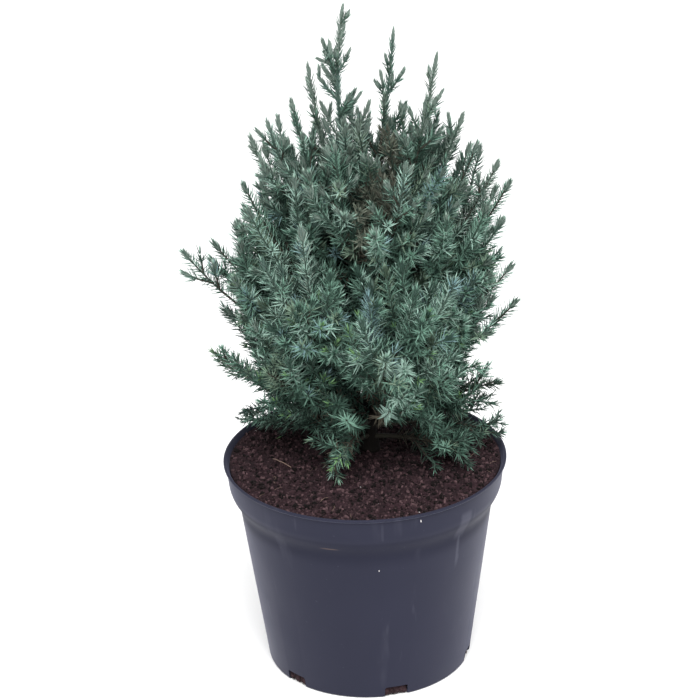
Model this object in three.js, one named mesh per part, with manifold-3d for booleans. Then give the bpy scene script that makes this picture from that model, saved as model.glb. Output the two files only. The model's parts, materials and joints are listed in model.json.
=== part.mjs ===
// A young upright Chinese juniper in a round nursery container.
// Millimetres, +Z up. The origin is the middle of the container's flat underside, and -Y is the front.

import * as THREE from 'three';
import { mergeVertices } from 'three/addons/utils/BufferGeometryUtils.js';
import Module from 'manifold-3d';

const wasm = await Module();
wasm.setup();

// Space left between pieces that touch
const GAP = 0.3;

// Container
const POT_HEIGHT = 148;
const RIM_RADIUS = 95;
const RIM_ROUND = 0.6;
const RIM_DEPTH = 1.4;
const LIP_WIDTH = 1.6;
const LIP_DEPTH = 3.5;
const BAND_TOP_RADIUS = 93.3;
const BAND_HEIGHT = 19.5;
const BAND_FOOT_RADIUS = 91.6;
const SHOULDER_HEIGHT = 10;
const WALL_TOP_RADIUS = 85.5;
const WALL_THICKNESS = 1.8;
const FOOT_RADIUS = 69.4;
const FOOT_BEVEL = 1.6;
const FLOOR_THICKNESS = 3;
const POT_SEGMENTS = 48;

// Drain slots round the container's foot
const DRAIN_COUNT = 6;
const DRAIN_FIRST_BEARING = 284;
const DRAIN_WIDTH = 16;
const DRAIN_HEIGHT = 8;
const DRAIN_DEPTH = 8;

// Soil
const SOIL_DROP = 2.5;
const SOIL_MOUND = 1;
const SOIL_FLAT_RADIUS = 26;
const SOIL_SEGMENTS = 30;
const SOIL_TOP = POT_HEIGHT - SOIL_DROP + SOIL_MOUND;

// Trunk, its heights above the soil
const TRUNK_FOOT = { x: 4, y: 12 };
const TRUNK_TIP = { x: -9, y: 2, height: 226 };
const TRUNK_FOOT_RADIUS = 4.6;
const TRUNK_TIP_RADIUS = 1.3;
const ROOT_FLARE = 2.6;
const FLARE_HEIGHT = 7;
const TRUNK_SIDES = 8;
const TRUNK_STEPS = 14;

// Boughs: bare from the trunk to BARE_SHARE of their length, and foliage from there to the tip
const BARE_SHARE = 0.3;
const BOUGH_FOOT_RADIUS = 2.3;
const BOUGH_TIP_RADIUS = 1.4;
const BOUGH_SIDES = 5;
const BOUGH_STEPS = 2;
const BEND_OUT = 0.66;
const BEND_UP = 0.36;
const LEAST_ARCH = 13;

// Shoots that carry needles
const SEED = 4252;
const SEED_STEP = 97;
const GOLDEN_TURN = 137.5;
const TURN_PLAY = 60;
const FEWEST_TWIGS = 3;
const TWIG_SPACING = 12;
const TWIG_FIRST = 0.04;
const TWIG_LAST = 0.84;
const TWIG_ANGLE_FOOT = 52;
const TWIG_ANGLE_TIP = 30;
const TWIG_LEAST = 11;
const TWIG_SHARE = 0.78;
const TWIG_SLIMMING = 2;
const TWIG_LONGEST_STEM = 95;
const LEADER_TWIG_STEM = 16;
const TWIG_LENGTH_PLAY = [0.8, 1.2];
const TWIG_LIFT = 0.26;
const STEM_RADIUS = 1.5;
const CORE_RADIUS = 1.15;
const CORE_TAPER = 0.25;
const WHORL_SPACING = 9.8;
const NEEDLE_LENGTH = 16;
const NEEDLE_TIP_SHARE = 0.62;
const NEEDLE_TOP_SHARE = 0.55;
const NEEDLE_SPREAD = 60;
const NEEDLE_CLOSE = 27;
const BUD_LENGTH = 9;
const STEM_BARE_WHORLS = 2;
const TWIG_BARE_WHORLS = 1;
const WHORL_NEEDLES = 3;
const NEEDLE_TURN = 360 / WHORL_NEEDLES;
const WHORL_TURN = NEEDLE_TURN / 2;
const NEEDLE_ROOM = 1.2;
const SPACE_MARGIN = 1;
const SAMPLE_STEP = 3;
const CORE_TESTS = [1 / 3, 2 / 3, 1];
const NEEDLE_TESTS = [0.4, 0.6, 0.8, 1];

// One row for each limb. bearing: its direction round the trunk in degrees, 0 to the right, 90 to the back
// and 270 to the front. foot: where it leaves the trunk. reach and rise: how far from the container's axis
// and how high its tip stands. foot and rise are above the soil. A leafy limb has needles from the trunk on.
const LIMBS = [
  { name: 'leader_centre', bearing: 35, foot: 146, reach: 31, rise: 293, leafy: true },
  { name: 'leader_right', bearing: 353, foot: 110, reach: 52, rise: 283 },
  { name: 'leader_left', bearing: 158, foot: 142, reach: 32, rise: 273, leafy: true },
  { name: 'left_top', bearing: 199, foot: 130, reach: 43, rise: 259, leafy: true },
  { name: 'left_upper', bearing: 176, foot: 116, reach: 57, rise: 239 },
  { name: 'left_shoulder', bearing: 197, foot: 92, reach: 76, rise: 207 },
  { name: 'left_side', bearing: 167, foot: 72, reach: 99, rise: 150 },
  { name: 'left_wide', bearing: 180, foot: 58, reach: 115, rise: 153 },
  { name: 'left_low', bearing: 188, foot: 28, reach: 100, rise: 88 },
  { name: 'right_upper', bearing: 7, foot: 128, reach: 69, rise: 238 },
  { name: 'right_high', bearing: 12, foot: 104, reach: 80, rise: 216, leafy: true },
  { name: 'right_crest', bearing: 3, foot: 97, reach: 91, rise: 207, leafy: true },
  { name: 'right_shoulder', bearing: 356, foot: 90, reach: 98, rise: 198 },
  { name: 'right_wide', bearing: 351, foot: 62, reach: 100, rise: 144 },
  { name: 'right_lower', bearing: 4, foot: 26, reach: 92, rise: 51 },
  { name: 'right_low', bearing: 4, foot: 42, reach: 104, rise: 109 },
  { name: 'front_left_upper', bearing: 252, foot: 122, reach: 46, rise: 240, leafy: true },
  { name: 'front_right_upper', bearing: 300, foot: 100, reach: 60, rise: 228 },
  { name: 'front_left', bearing: 243, foot: 66, reach: 88, rise: 146 },
  { name: 'front_right', bearing: 298, foot: 54, reach: 90, rise: 140 },
  { name: 'front_middle', bearing: 279, foot: 44, reach: 94, rise: 116 },
  { name: 'front_left_low', bearing: 218, foot: 38, reach: 80, rise: 88, leafy: true },
  { name: 'front_right_low', bearing: 318, foot: 37, reach: 76, rise: 82, leafy: true },
  { name: 'back_upper', bearing: 84, foot: 122, reach: 45, rise: 222, leafy: true },
  { name: 'back_left_upper', bearing: 130, foot: 84, reach: 74, rise: 186 },
  { name: 'back_right_upper', bearing: 46, foot: 80, reach: 76, rise: 186 },
  { name: 'back_left', bearing: 138, foot: 44, reach: 100, rise: 116 },
  { name: 'back_middle', bearing: 92, foot: 34, reach: 100, rise: 108 },
  { name: 'back_right', bearing: 46, foot: 50, reach: 98, rise: 114 },
  { name: 'low_front_left', bearing: 258, foot: 21, reach: 61, rise: 58, leafy: true },
  { name: 'low_front_right', bearing: 286, foot: 28, reach: 64, rise: 65, leafy: true },
  { name: 'low_left', bearing: 150, foot: 16, reach: 95, rise: 13, leafy: true },
  { name: 'low_right', bearing: 0, foot: 16, reach: 90, rise: 12, leafy: true },
  { name: 'low_front', bearing: 242, foot: 10, reach: 50, rise: 6, leafy: true },
  { name: 'low_right_front', bearing: 338, foot: 9, reach: 73, rise: 10, leafy: true },
  { name: 'low_back', bearing: 80, foot: 14, reach: 80, rise: 18, leafy: true },
];
const LEADER = { name: 'leader_main', x: -6, y: 0, rise: 314.5 };

const MATERIALS = {
  pot: new THREE.MeshStandardMaterial({ color: 0x3c3d4b, roughness: 0.5 }),
  soil: new THREE.MeshStandardMaterial({ color: 0x2c1d1b, roughness: 0.95 }),
  bark: new THREE.MeshStandardMaterial({ color: 0x4b392d, roughness: 0.9 }),
  needles: new THREE.MeshStandardMaterial({ color: 0x4c6f68, roughness: 0.7 }),
};

const group = new THREE.Group();
const UP = new THREE.Vector3(0, 0, 1);
const ACROSS = new THREE.Vector3(1, 0, 0);
const STEEP = 0.9;
const MERGE_DISTANCE = 1e-4;
const radians = THREE.MathUtils.degToRad;
const mix = THREE.MathUtils.lerp;

function addNode(name, solid, material) {
  const mesh = new THREE.Mesh(geometryOf(solid), material);
  mesh.name = name;
  group.add(mesh);
}

function solidOf(geometry) {
  const plain = new THREE.BufferGeometry();
  plain.setAttribute('position', geometry.getAttribute('position'));
  plain.setIndex(geometry.index);
  const merged = mergeVertices(plain, MERGE_DISTANCE);
  return new wasm.Manifold(new wasm.Mesh({
    numProp: 3,
    vertProperties: new Float32Array(merged.getAttribute('position').array),
    triVerts: new Uint32Array(merged.index.array),
  }));
}

function geometryOf(solid) {
  const mesh = solid.getMesh();
  const geometry = new THREE.BufferGeometry();
  geometry.setAttribute('position', new THREE.BufferAttribute(mesh.vertProperties, 3));
  geometry.setIndex(new THREE.BufferAttribute(mesh.triVerts, 1));
  geometry.computeVertexNormals();
  return geometry;
}

// The largest body of a solid, without loose scraps or sealed hollows.
function largestBody(solid) {
  return solid.decompose().reduce((most, body) => (body.volume() > most.volume() ? body : most));
}

function fuse(solids) {
  return largestBody(solids.reduce((whole, next) => whole.add(next)));
}

// A sequence of numbers from 0 to 1 that is the same on every run: a linear congruential generator.
const FACTOR = 1664525;
const ADDEND = 1013904223;
const MODULUS = 2 ** 32;

function seeded(seed) {
  let state = seed;
  return () => {
    state = (Math.imul(state, FACTOR) + ADDEND) >>> 0;
    return state / MODULUS;
  };
}

function turned(profile, segments) {
  const points = profile.map(([radius, height]) => new THREE.Vector2(radius, height));
  return solidOf(new THREE.LatheGeometry(points, segments).rotateX(Math.PI / 2));
}

// Container and soil
const bandFoot = POT_HEIGHT - BAND_HEIGHT;
const wallTop = bandFoot - SHOULDER_HEIGHT;
const potInside = [
  [RIM_RADIUS - LIP_WIDTH, POT_HEIGHT],
  [BAND_TOP_RADIUS - WALL_THICKNESS, POT_HEIGHT - LIP_DEPTH],
  [BAND_FOOT_RADIUS - WALL_THICKNESS, bandFoot],
  [WALL_TOP_RADIUS - WALL_THICKNESS, wallTop],
  [FOOT_RADIUS - WALL_THICKNESS, FLOOR_THICKNESS],
];

function potSolid() {
  const shell = turned([
    [0, 0],
    [FOOT_RADIUS - FOOT_BEVEL, 0],
    [FOOT_RADIUS, FOOT_BEVEL],
    [WALL_TOP_RADIUS, wallTop],
    [BAND_FOOT_RADIUS, bandFoot],
    [BAND_TOP_RADIUS, POT_HEIGHT - LIP_DEPTH],
    [RIM_RADIUS, POT_HEIGHT - RIM_DEPTH],
    [RIM_RADIUS, POT_HEIGHT - RIM_ROUND],
    [RIM_RADIUS - RIM_ROUND, POT_HEIGHT],
    ...potInside,
    [0, FLOOR_THICKNESS],
  ], POT_SEGMENTS);
  const slot = new THREE.BoxGeometry(2 * DRAIN_DEPTH, DRAIN_WIDTH, 2 * DRAIN_HEIGHT);
  slot.translate(FOOT_RADIUS, 0, 0);
  let pot = shell;
  for (let k = 0; k < DRAIN_COUNT; k += 1) {
    const bearing = radians(DRAIN_FIRST_BEARING + (k * 360) / DRAIN_COUNT);
    pot = pot.subtract(solidOf(slot.clone().rotateZ(bearing)));
  }
  return largestBody(pot);
}

function soilSolid() {
  const side = potInside.slice(1).reverse()
    .map(([radius, height]) => [radius - 2 * GAP, height + GAP]);
  const edge = side.pop();
  return turned([
    [0, FLOOR_THICKNESS + GAP],
    ...side,
    [edge[0], POT_HEIGHT - SOIL_DROP],
    [SOIL_FLAT_RADIUS, SOIL_TOP],
    [0, SOIL_TOP],
  ], SOIL_SEGMENTS);
}

// Limbs: a cylinder bent along a curve, with its radius worked out at each step
function limbSolid(curve, radiusAt, sides, steps) {
  const geometry = new THREE.CylinderGeometry(1, 1, 1, sides, steps);
  const frames = curve.computeFrenetFrames(steps);
  const position = geometry.getAttribute('position');
  const vertex = new THREE.Vector3();
  for (let n = 0; n < position.count; n += 1) {
    vertex.fromBufferAttribute(position, n);
    const step = Math.round((vertex.y + 0.5) * steps);
    const radius = radiusAt(step / steps);
    const place = curve.getPointAt(step / steps)
      .addScaledVector(frames.normals[step], vertex.x * radius)
      .addScaledVector(frames.binormals[step], -vertex.z * radius);
    position.setXYZ(n, place.x, place.y, place.z);
  }
  return solidOf(geometry);
}

const trunkCurve = new THREE.QuadraticBezierCurve3(
  new THREE.Vector3(TRUNK_FOOT.x, TRUNK_FOOT.y, SOIL_TOP + GAP),
  new THREE.Vector3(TRUNK_FOOT.x, TRUNK_FOOT.y, SOIL_TOP + TRUNK_TIP.height / 2),
  new THREE.Vector3(TRUNK_TIP.x, TRUNK_TIP.y, SOIL_TOP + TRUNK_TIP.height),
);

function trunkRadius(share) {
  const flare = ROOT_FLARE * Math.exp((-share * TRUNK_TIP.height) / FLARE_HEIGHT);
  return mix(TRUNK_FOOT_RADIUS, TRUNK_TIP_RADIUS, share) + flare;
}

// The curve of a limb from the trunk's axis to its tip: out first, then up.
function limbCurve({ bearing, foot, reach, rise }) {
  const start = trunkCurve.getPoint(foot / TRUNK_TIP.height);
  const tip = new THREE.Vector3(
    reach * Math.cos(radians(bearing)),
    reach * Math.sin(radians(bearing)),
    SOIL_TOP + rise,
  );
  const bend = new THREE.Vector3().lerpVectors(start, tip, BEND_OUT);
  bend.z = start.z + Math.max(BEND_UP * (rise - foot), LEAST_ARCH);
  return new THREE.QuadraticBezierCurve3(start, bend, tip);
}

// The part of a quadratic curve between two of its shares.
function partOf(curve, from, to) {
  const start = curve.getPoint(from);
  const end = curve.getPoint(to);
  const bend = curve.getPoint(from)
    .addScaledVector(derivative(curve, from), (to - from) / 2);
  return new THREE.QuadraticBezierCurve3(start, bend, end);
}

function derivative(curve, share) {
  return curve.v1.clone().sub(curve.v0).multiplyScalar(2 * (1 - share))
    .addScaledVector(curve.v2.clone().sub(curve.v1), 2 * share);
}

// Stems of the foliage masses
function stemOf(limb) {
  const curve = limbCurve(limb);
  if (limb.leafy) return curve;
  const step = GAP / curve.getLength();
  return partOf(curve, BARE_SHARE + step, 1);
}

function leaderStem() {
  const start = trunkCurve.getPoint(1).addScaledVector(trunkCurve.getTangent(1), GAP);
  const tip = new THREE.Vector3(LEADER.x, LEADER.y, SOIL_TOP + LEADER.rise);
  const bend = start.clone().addScaledVector(trunkCurve.getTangent(1), start.distanceTo(tip) / 2);
  return new THREE.QuadraticBezierCurve3(start, bend, tip);
}

// Side shoots of a stem: round it by the golden turn, shorter towards its tip, lifting to the light.
// They lengthen with the stem, up to a stem of the longest length.
function twigsOf(stem, index, longest) {
  const draw = seeded(SEED + SEED_STEP * index);
  const length = stem.getLength();
  const count = Math.max(FEWEST_TWIGS, Math.round(length / TWIG_SPACING));
  const twigs = [];
  for (let k = 0; k < count; k += 1) {
    const share = mix(TWIG_FIRST, TWIG_LAST, (k + draw()) / count);
    const turn = radians(k * GOLDEN_TURN + TURN_PLAY * draw());
    const angle = radians(mix(TWIG_ANGLE_FOOT, TWIG_ANGLE_TIP, share));
    const taper = (1 - share) ** TWIG_SLIMMING;
    const span = (TWIG_LEAST + TWIG_SHARE * Math.min(length, longest) * taper)
      * mix(...TWIG_LENGTH_PLAY, draw());
    const start = stem.getPoint(share);
    const along = derivative(stem, share).normalize();
    const side = along.clone().cross(Math.abs(along.z) < STEEP ? UP : ACROSS).normalize();
    const over = side.clone().cross(along);
    const leave = along.multiplyScalar(Math.cos(angle))
      .addScaledVector(side, Math.cos(turn) * Math.sin(angle))
      .addScaledVector(over, Math.sin(turn) * Math.sin(angle));
    const bend = start.clone().addScaledVector(leave, span / 2);
    const tip = start.clone().addScaledVector(leave, span).addScaledVector(UP, TWIG_LIFT * span);
    twigs.push(new THREE.QuadraticBezierCurve3(start, bend, tip));
  }
  return twigs;
}

// A three-sided core with whorls of three needles, each whorl turned against the one below.
// fits tells whether a point with a girth round it lies in the free space of the mass, coreFits the same for
// the core, and clear whether a point of a needle keeps off the other shoots of the same mass.
function spraySolid(shoot, { coreRadius, bareWhorls, coreFits, fits, clear }) {
  const curve = partOf(shoot, 0, 1 - BUD_LENGTH / shoot.getLength());
  const steps = Math.max(2, Math.round(curve.getLength() / WHORL_SPACING));
  const frames = curve.computeFrenetFrames(steps);
  const radiusAt = (k) => coreRadius * (1 - (CORE_TAPER * k) / steps);
  const centres = Array.from({ length: steps + 1 }, (_, k) => curve.getPointAt(k / steps));
  const budTip = (k) => centres[k].clone().addScaledVector(frames.tangents[k], BUD_LENGTH);
  const bandFits = (k) => CORE_TESTS.every(
    (part) => coreFits(curve.getPointAt((k + part) / steps), radiusAt(k)),
  );
  let last = coreFits(centres[1], radiusAt(1)) ? 1 : 0;
  while (last > 0 && last < steps && bandFits(last)) last += 1;
  while (last > 1 && !coreFits(budTip(last), 0)) last -= 1;
  if (last < 2) return null;

  const corners = [];
  const faces = [];
  const outward = (k, degrees) => frames.normals[k].clone()
    .multiplyScalar(Math.cos(radians(degrees)))
    .addScaledVector(frames.binormals[k], Math.sin(radians(degrees)));
  const corner = (k, i) => WHORL_NEEDLES * k + (i % WHORL_NEEDLES);
  for (let k = 0; k <= last; k += 1) {
    for (let i = 0; i < WHORL_NEEDLES; i += 1) {
      const side = outward(k, NEEDLE_TURN * i + WHORL_TURN * k);
      corners.push(centres[k].clone().addScaledVector(side, radiusAt(k)));
    }
  }
  const addPoint = (point) => corners.push(point) - 1;
  faces.push([corner(0, 0), corner(0, 2), corner(0, 1)]);
  for (let k = 0; k < last; k += 1) {
    const spread = radians(mix(NEEDLE_SPREAD, NEEDLE_CLOSE, k / steps));
    const reach = NEEDLE_LENGTH * mix(1, NEEDLE_TIP_SHARE, k / steps)
      * mix(1, NEEDLE_TOP_SHARE, (centres[k].z - SOIL_TOP) / LEADER.rise);
    for (let i = 0; i < WHORL_NEEDLES; i += 1) {
      const foot = [corner(k, i), corner(k, i + 1), corner(k + 1, i)];
      const middle = new THREE.Vector3();
      foot.forEach((n) => middle.addScaledVector(corners[n], 1 / foot.length));
      const needle = frames.tangents[k].clone().multiplyScalar(Math.cos(spread) * reach)
        .addScaledVector(outward(k, NEEDLE_TURN * i + WHORL_TURN * (k + 1)), Math.sin(spread) * reach);
      const needleFits = NEEDLE_TESTS.every((part) => {
        const place = middle.clone().addScaledVector(needle, part);
        return fits(place, (1 - part) * CORE_RADIUS) && clear(place);
      });
      if (k >= bareWhorls && needleFits) {
        const tip = addPoint(middle.clone().add(needle));
        foot.forEach((n, m) => faces.push([n, foot[(m + 1) % foot.length], tip]));
      } else {
        faces.push(foot);
      }
      faces.push([corner(k, i + 1), corner(k + 1, i + 1), corner(k + 1, i)]);
    }
  }
  const end = addPoint(budTip(last));
  for (let i = 0; i < WHORL_NEEDLES; i += 1) faces.push([corner(last, i), corner(last, i + 1), end]);

  const geometry = new THREE.BufferGeometry().setFromPoints(corners);
  geometry.setIndex(faces.flat());
  return solidOf(geometry);
}

// Free space: nearer to the mass's own stem than to any other, clear of limbs, soil and rim.
function sampled(curve) {
  const count = Math.max(2, Math.ceil(curve.getLength() / SAMPLE_STEP));
  return Array.from({ length: count + 1 }, (_, k) => curve.getPointAt(k / count));
}

function nearest(point, places) {
  return places.reduce((least, place) => Math.min(least, point.distanceTo(place)), Infinity);
}

function freeSpace(index, axes, limbs) {
  const others = axes.flatMap((places, k) => (k === index ? [] : places));
  return (point, girth) => {
    const radius = Math.hypot(point.x, point.y);
    const ground = radius < RIM_RADIUS - 2 * LIP_WIDTH ? SOIL_TOP : POT_HEIGHT;
    if (radius < RIM_RADIUS + LIP_WIDTH && point.z < ground + girth + 2 * GAP) return false;
    if (nearest(point, others) - nearest(point, axes[index]) < SPACE_MARGIN + 2 * girth) return false;
    return limbs.every((limb) => point.distanceTo(limb.place) > limb.radius + girth + 2 * GAP);
  };
}

const trunk = limbSolid(trunkCurve, trunkRadius, TRUNK_SIDES, TRUNK_STEPS);
const trunkRoom = limbSolid(trunkCurve, (share) => trunkRadius(share) + GAP, TRUNK_SIDES, TRUNK_STEPS);
const boughCurves = new Map(LIMBS.filter((limb) => !limb.leafy)
  .map((limb) => [limb.name, partOf(limbCurve(limb), 0, BARE_SHARE)]));
const boughRadius = (share) => mix(BOUGH_FOOT_RADIUS, BOUGH_TIP_RADIUS, share);

const limbRoom = [];
sampled(trunkCurve).forEach((place, k, all) => {
  limbRoom.push({ place, radius: trunkRadius(k / (all.length - 1)) });
});
boughCurves.forEach((curve) => sampled(curve).forEach((place, k, all) => {
  limbRoom.push({ place, radius: boughRadius(k / (all.length - 1)) });
}));

const masses = [
  { name: LEADER.name, stem: leaderStem(), longest: LEADER_TWIG_STEM },
  ...LIMBS.map((limb) => ({ name: limb.name, stem: stemOf(limb), longest: TWIG_LONGEST_STEM })),
];
const axes = masses.map((mass) => sampled(mass.stem));

addNode('pot', potSolid(), MATERIALS.pot);
addNode('soil', soilSolid(), MATERIALS.soil);
addNode('trunk', trunk, MATERIALS.bark);
boughCurves.forEach((curve, name) => {
  const limb = limbSolid(curve, boughRadius, BOUGH_SIDES, BOUGH_STEPS);
  addNode(`bough_${name}`, largestBody(limb.subtract(trunkRoom)), MATERIALS.bark);
});
masses.forEach((mass, index) => {
  const fits = freeSpace(index, axes, limbRoom);
  const shoots = [mass.stem, ...twigsOf(mass.stem, index, mass.longest)];
  const places = shoots.map(sampled);
  const sprays = shoots.map((shoot, k) => {
    const others = places.flatMap((own, n) => (n === k ? [] : own));
    const clear = (point) => nearest(point, others) > CORE_RADIUS + NEEDLE_ROOM;
    const kind = k === 0
      ? { coreRadius: STEM_RADIUS, bareWhorls: STEM_BARE_WHORLS, coreFits: () => true }
      : { coreRadius: CORE_RADIUS, bareWhorls: TWIG_BARE_WHORLS, coreFits: fits };
    return spraySolid(shoot, { ...kind, fits, clear });
  });
  const whole = fuse(sprays.filter((spray) => spray !== null));
  addNode(`foliage_${mass.name}`, largestBody(whole.subtract(trunkRoom)), MATERIALS.needles);
});

export default group;
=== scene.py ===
"""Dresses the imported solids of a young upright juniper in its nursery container."""

import json
import math
from typing import NamedTuple

import bpy
import numpy as np
from bpy.props import FloatProperty, FloatVectorProperty, IntProperty, PointerProperty
from bpy.types import Operator, Panel, PropertyGroup
from mathutils import Matrix, Vector, noise

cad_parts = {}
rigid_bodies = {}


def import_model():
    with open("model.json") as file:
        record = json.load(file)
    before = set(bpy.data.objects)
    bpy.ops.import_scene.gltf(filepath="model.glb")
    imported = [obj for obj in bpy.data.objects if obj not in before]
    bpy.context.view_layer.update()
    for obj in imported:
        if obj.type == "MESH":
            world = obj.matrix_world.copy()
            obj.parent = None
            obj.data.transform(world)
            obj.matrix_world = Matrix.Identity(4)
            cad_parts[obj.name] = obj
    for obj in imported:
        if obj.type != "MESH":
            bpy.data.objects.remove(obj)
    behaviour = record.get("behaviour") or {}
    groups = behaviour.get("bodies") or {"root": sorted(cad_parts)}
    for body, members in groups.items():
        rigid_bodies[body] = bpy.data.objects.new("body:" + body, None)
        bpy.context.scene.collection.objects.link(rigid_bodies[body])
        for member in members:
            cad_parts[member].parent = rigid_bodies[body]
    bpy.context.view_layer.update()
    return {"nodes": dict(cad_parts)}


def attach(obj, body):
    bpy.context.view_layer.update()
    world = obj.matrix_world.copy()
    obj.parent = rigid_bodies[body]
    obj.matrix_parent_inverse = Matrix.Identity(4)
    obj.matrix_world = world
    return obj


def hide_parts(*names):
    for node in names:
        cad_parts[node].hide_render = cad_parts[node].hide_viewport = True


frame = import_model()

bl_info = {
    "name": "Potted Juniper",
    "version": (1, 0, 0),
    "blender": (4, 5, 0),
    "location": "3D View > Sidebar > Juniper",
    "description": "A young upright juniper with needles in whorls of three, in a nursery container",
    "category": "Add Mesh",
}

MM = 0.001
UP = np.array((0.0, 0.0, 1.0))
ACROSS = np.array((1.0, 0.0, 0.0))

# The growth rule of the part's source, in millimetres and degrees
GAP = 0.3
SOIL_TOP = 146.5
TRUNK_FOOT = (4.0, 12.0)
TRUNK_TIP = (-9.0, 2.0)
TRUNK_HEIGHT = 226.0
TRUNK_FOOT_RADIUS = 4.6
TRUNK_TIP_RADIUS = 1.3
ROOT_FLARE = 2.6
FLARE_HEIGHT = 7.0
BARE_SHARE = 0.3
BOUGH_FOOT_RADIUS = 2.3
BOUGH_TIP_RADIUS = 1.4
BEND_OUT = 0.66
BEND_UP = 0.36
LEAST_ARCH = 13.0
SEED = 4252
SEED_STEP = 97
GOLDEN_TURN = 137.5
TURN_PLAY = 60.0
STEEP = 0.9
LEADER_TIP = (-6.0, 0.0)
LEADER_RISE = 314.5
LEADER_TWIG_STEM = 16.0

# Orders of shoots, their wood's radii in millimetres and the bare share at their feet
STEM, TWIG, SPUR, BUD = range(4)
LEADER_RADIUS = 1.3
STEM_RADIUS = 1.9
TWIG_RADIUS = 0.85
FINE_TWIG_RADIUS = 0.75
SPROUT_RADIUS = 0.65
SPUR_RADIUS = 0.6
TWIG_TIP_RADIUS = 0.5
SPUR_TIP_RADIUS = 0.45
LEAFY_BARE = 0.2
STEM_BARE = 0.04
TWIG_BARE = 0.12
SPUR_BARE = 0.04
SPROUT_BARE = 0.1
MOST_BARE = 0.4

# Where a stem is split for its colours; how far from its tip a shoot's line ends and how far apart its
# points are, in millimetres; the seed of the first needles' turns
STEM_SPLIT = 0.6
LINE_ENDS_BELOW_TIP = 4.5
POINTS_APART = 5.0
PHASE_SEED = 911

# Needles in a whorl, and how far single ones differ in turn and lean, in radians, in length and width
NEEDLES_IN_WHORL = 3
NEEDLE_TURN_PLAY = 0.2
NEEDLE_LEAN_PLAY = 0.13
NEEDLE_LENGTH_PLAY = (0.84, 1.14)
NEEDLE_WIDTH_PLAY = (0.85, 1.15)

# bearing, foot, reach, rise, and whether the limb has needles from the trunk on
LIMBS = {
    "leader_centre": (35, 146, 31, 293, True),
    "leader_right": (353, 110, 52, 283, False),
    "leader_left": (158, 142, 32, 273, True),
    "left_top": (199, 130, 43, 259, True),
    "left_upper": (176, 116, 57, 239, False),
    "left_shoulder": (197, 92, 76, 207, False),
    "left_side": (167, 72, 99, 150, False),
    "left_wide": (180, 58, 115, 153, False),
    "left_low": (188, 28, 100, 88, False),
    "right_upper": (7, 128, 69, 238, False),
    "right_high": (12, 104, 80, 216, True),
    "right_crest": (3, 97, 91, 207, True),
    "right_shoulder": (356, 90, 98, 198, False),
    "right_wide": (351, 62, 100, 144, False),
    "right_lower": (4, 26, 92, 51, False),
    "right_low": (4, 42, 104, 109, False),
    "front_left_upper": (252, 122, 46, 240, True),
    "front_right_upper": (300, 100, 60, 228, False),
    "front_left": (243, 66, 88, 146, False),
    "front_right": (298, 54, 90, 140, False),
    "front_middle": (279, 44, 94, 116, False),
    "front_left_low": (218, 38, 80, 88, True),
    "front_right_low": (318, 37, 76, 82, True),
    "back_upper": (84, 122, 45, 222, True),
    "back_left_upper": (130, 84, 74, 186, False),
    "back_right_upper": (46, 80, 76, 186, False),
    "back_left": (138, 44, 100, 116, False),
    "back_middle": (92, 34, 100, 108, False),
    "back_right": (46, 50, 98, 114, False),
    "low_front_left": (258, 21, 61, 58, True),
    "low_front_right": (286, 28, 64, 65, True),
    "low_left": (150, 16, 95, 13, True),
    "low_right": (0, 16, 90, 12, True),
    "low_front": (242, 10, 50, 6, True),
    "low_right_front": (338, 9, 73, 10, True),
    "low_back": (80, 14, 80, 18, True),
}


class SideRule(NamedTuple):
    """How side shoots leave a shoot: lengths in millimetres, angles in degrees, the rest shares."""

    spacing: float
    fewest: int
    first: float
    last: float
    angle_foot: float
    angle_tip: float
    least: float
    share: float
    slimming: float
    longest: float
    play: tuple
    lift: float


TWIGS = SideRule(12, 3, 0.04, 0.84, 52, 30, 11, 0.78, 2, 95, (0.8, 1.2), 0.26)
FILL_TWIGS = SideRule(9, 3, 0.04, 0.5, 52, 40, 14, 0.4, 1.3, 95, (0.8, 1.2), 0.4)
LIFTED_TWIGS = SideRule(15, 2, 0.28, 0.72, 36, 30, 26, 0.3, 1, 95, (0.8, 1.2), 0.8)
SPURS = SideRule(5.5, 2, 0.12, 0.9, 44, 32, 8, 0.24, 1, 50, (0.75, 1.25), 0.16)
SHORT_SHOOTS = SideRule(7, 3, 0.02, 0.42, 50, 38, 9, 0.12, 1, 95, (0.7, 1.3), 0.16)
BOUGH_SPROUTS = SideRule(4.5, 4, 0.1, 1.0, 60, 48, 20, 0.3, 1, 95, (0.7, 1.3), 0.5)
TRUNK_SPROUTS = SideRule(2.6, 20, 0.2, 0.98, 64, 44, 22, 0.12, 1, 95, (0.7, 1.3), 0.45)

# Lifted twigs grow on limbs that leave the trunk between these heights, nearer the trunk at the sides
LIFTED_FEET = (26, 100)
LIFTED_WITHIN = 65.0
LIFTED_AT_SIDES = (0.05, 0.2)

# On the limbs at the sides, which stand against the sky, fewer twigs grow beyond a share of the limb
SIDE_BELOW = 245.0
SIDE_OPEN_FROM = 0.3
SIDE_KEPT = 0.72
SIDE_FINER = 0.22

# The lowest limbs at the sides lie over the peat as flat sprays, with finer twigs almost to their tips
SPRAYS_BELOW = 20.0
SPRAYS_OUTSIDE = 40.0
SPRAY_TWIGS_TO = 0.92
SPRAY_LIFT = 0.12

# No finer shoot ends further out than this, across and front to back
WIDEST = (106.0, 93.0)

# Between whorls on stems, twigs, finer shoots and buds
WHORL_SPACING = (2.4, 2.4, 2.1, 0.9)

# By height above the soil: from a shoot's tip to its fully spread needles, their spread in degrees there
# and at the tip, and how close the whorls of stems and twigs stand
SPREAD_HEIGHTS = (60, 130, 200, 290)
CLOSING_LENGTHS = (5, 7, 9, 11)
NEEDLE_SPREADS = (57, 54, 49, 28)
TIP_SPREADS = (24, 20, 15, 8)
WHORL_SHARES = (1.0, 0.95, 0.8, 0.65)

# The outer halves of stems and twigs this far from the middle have closer whorls too
DENSE_OUTSIDE = 68.0
DENSE_SHARE = 0.64

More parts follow.
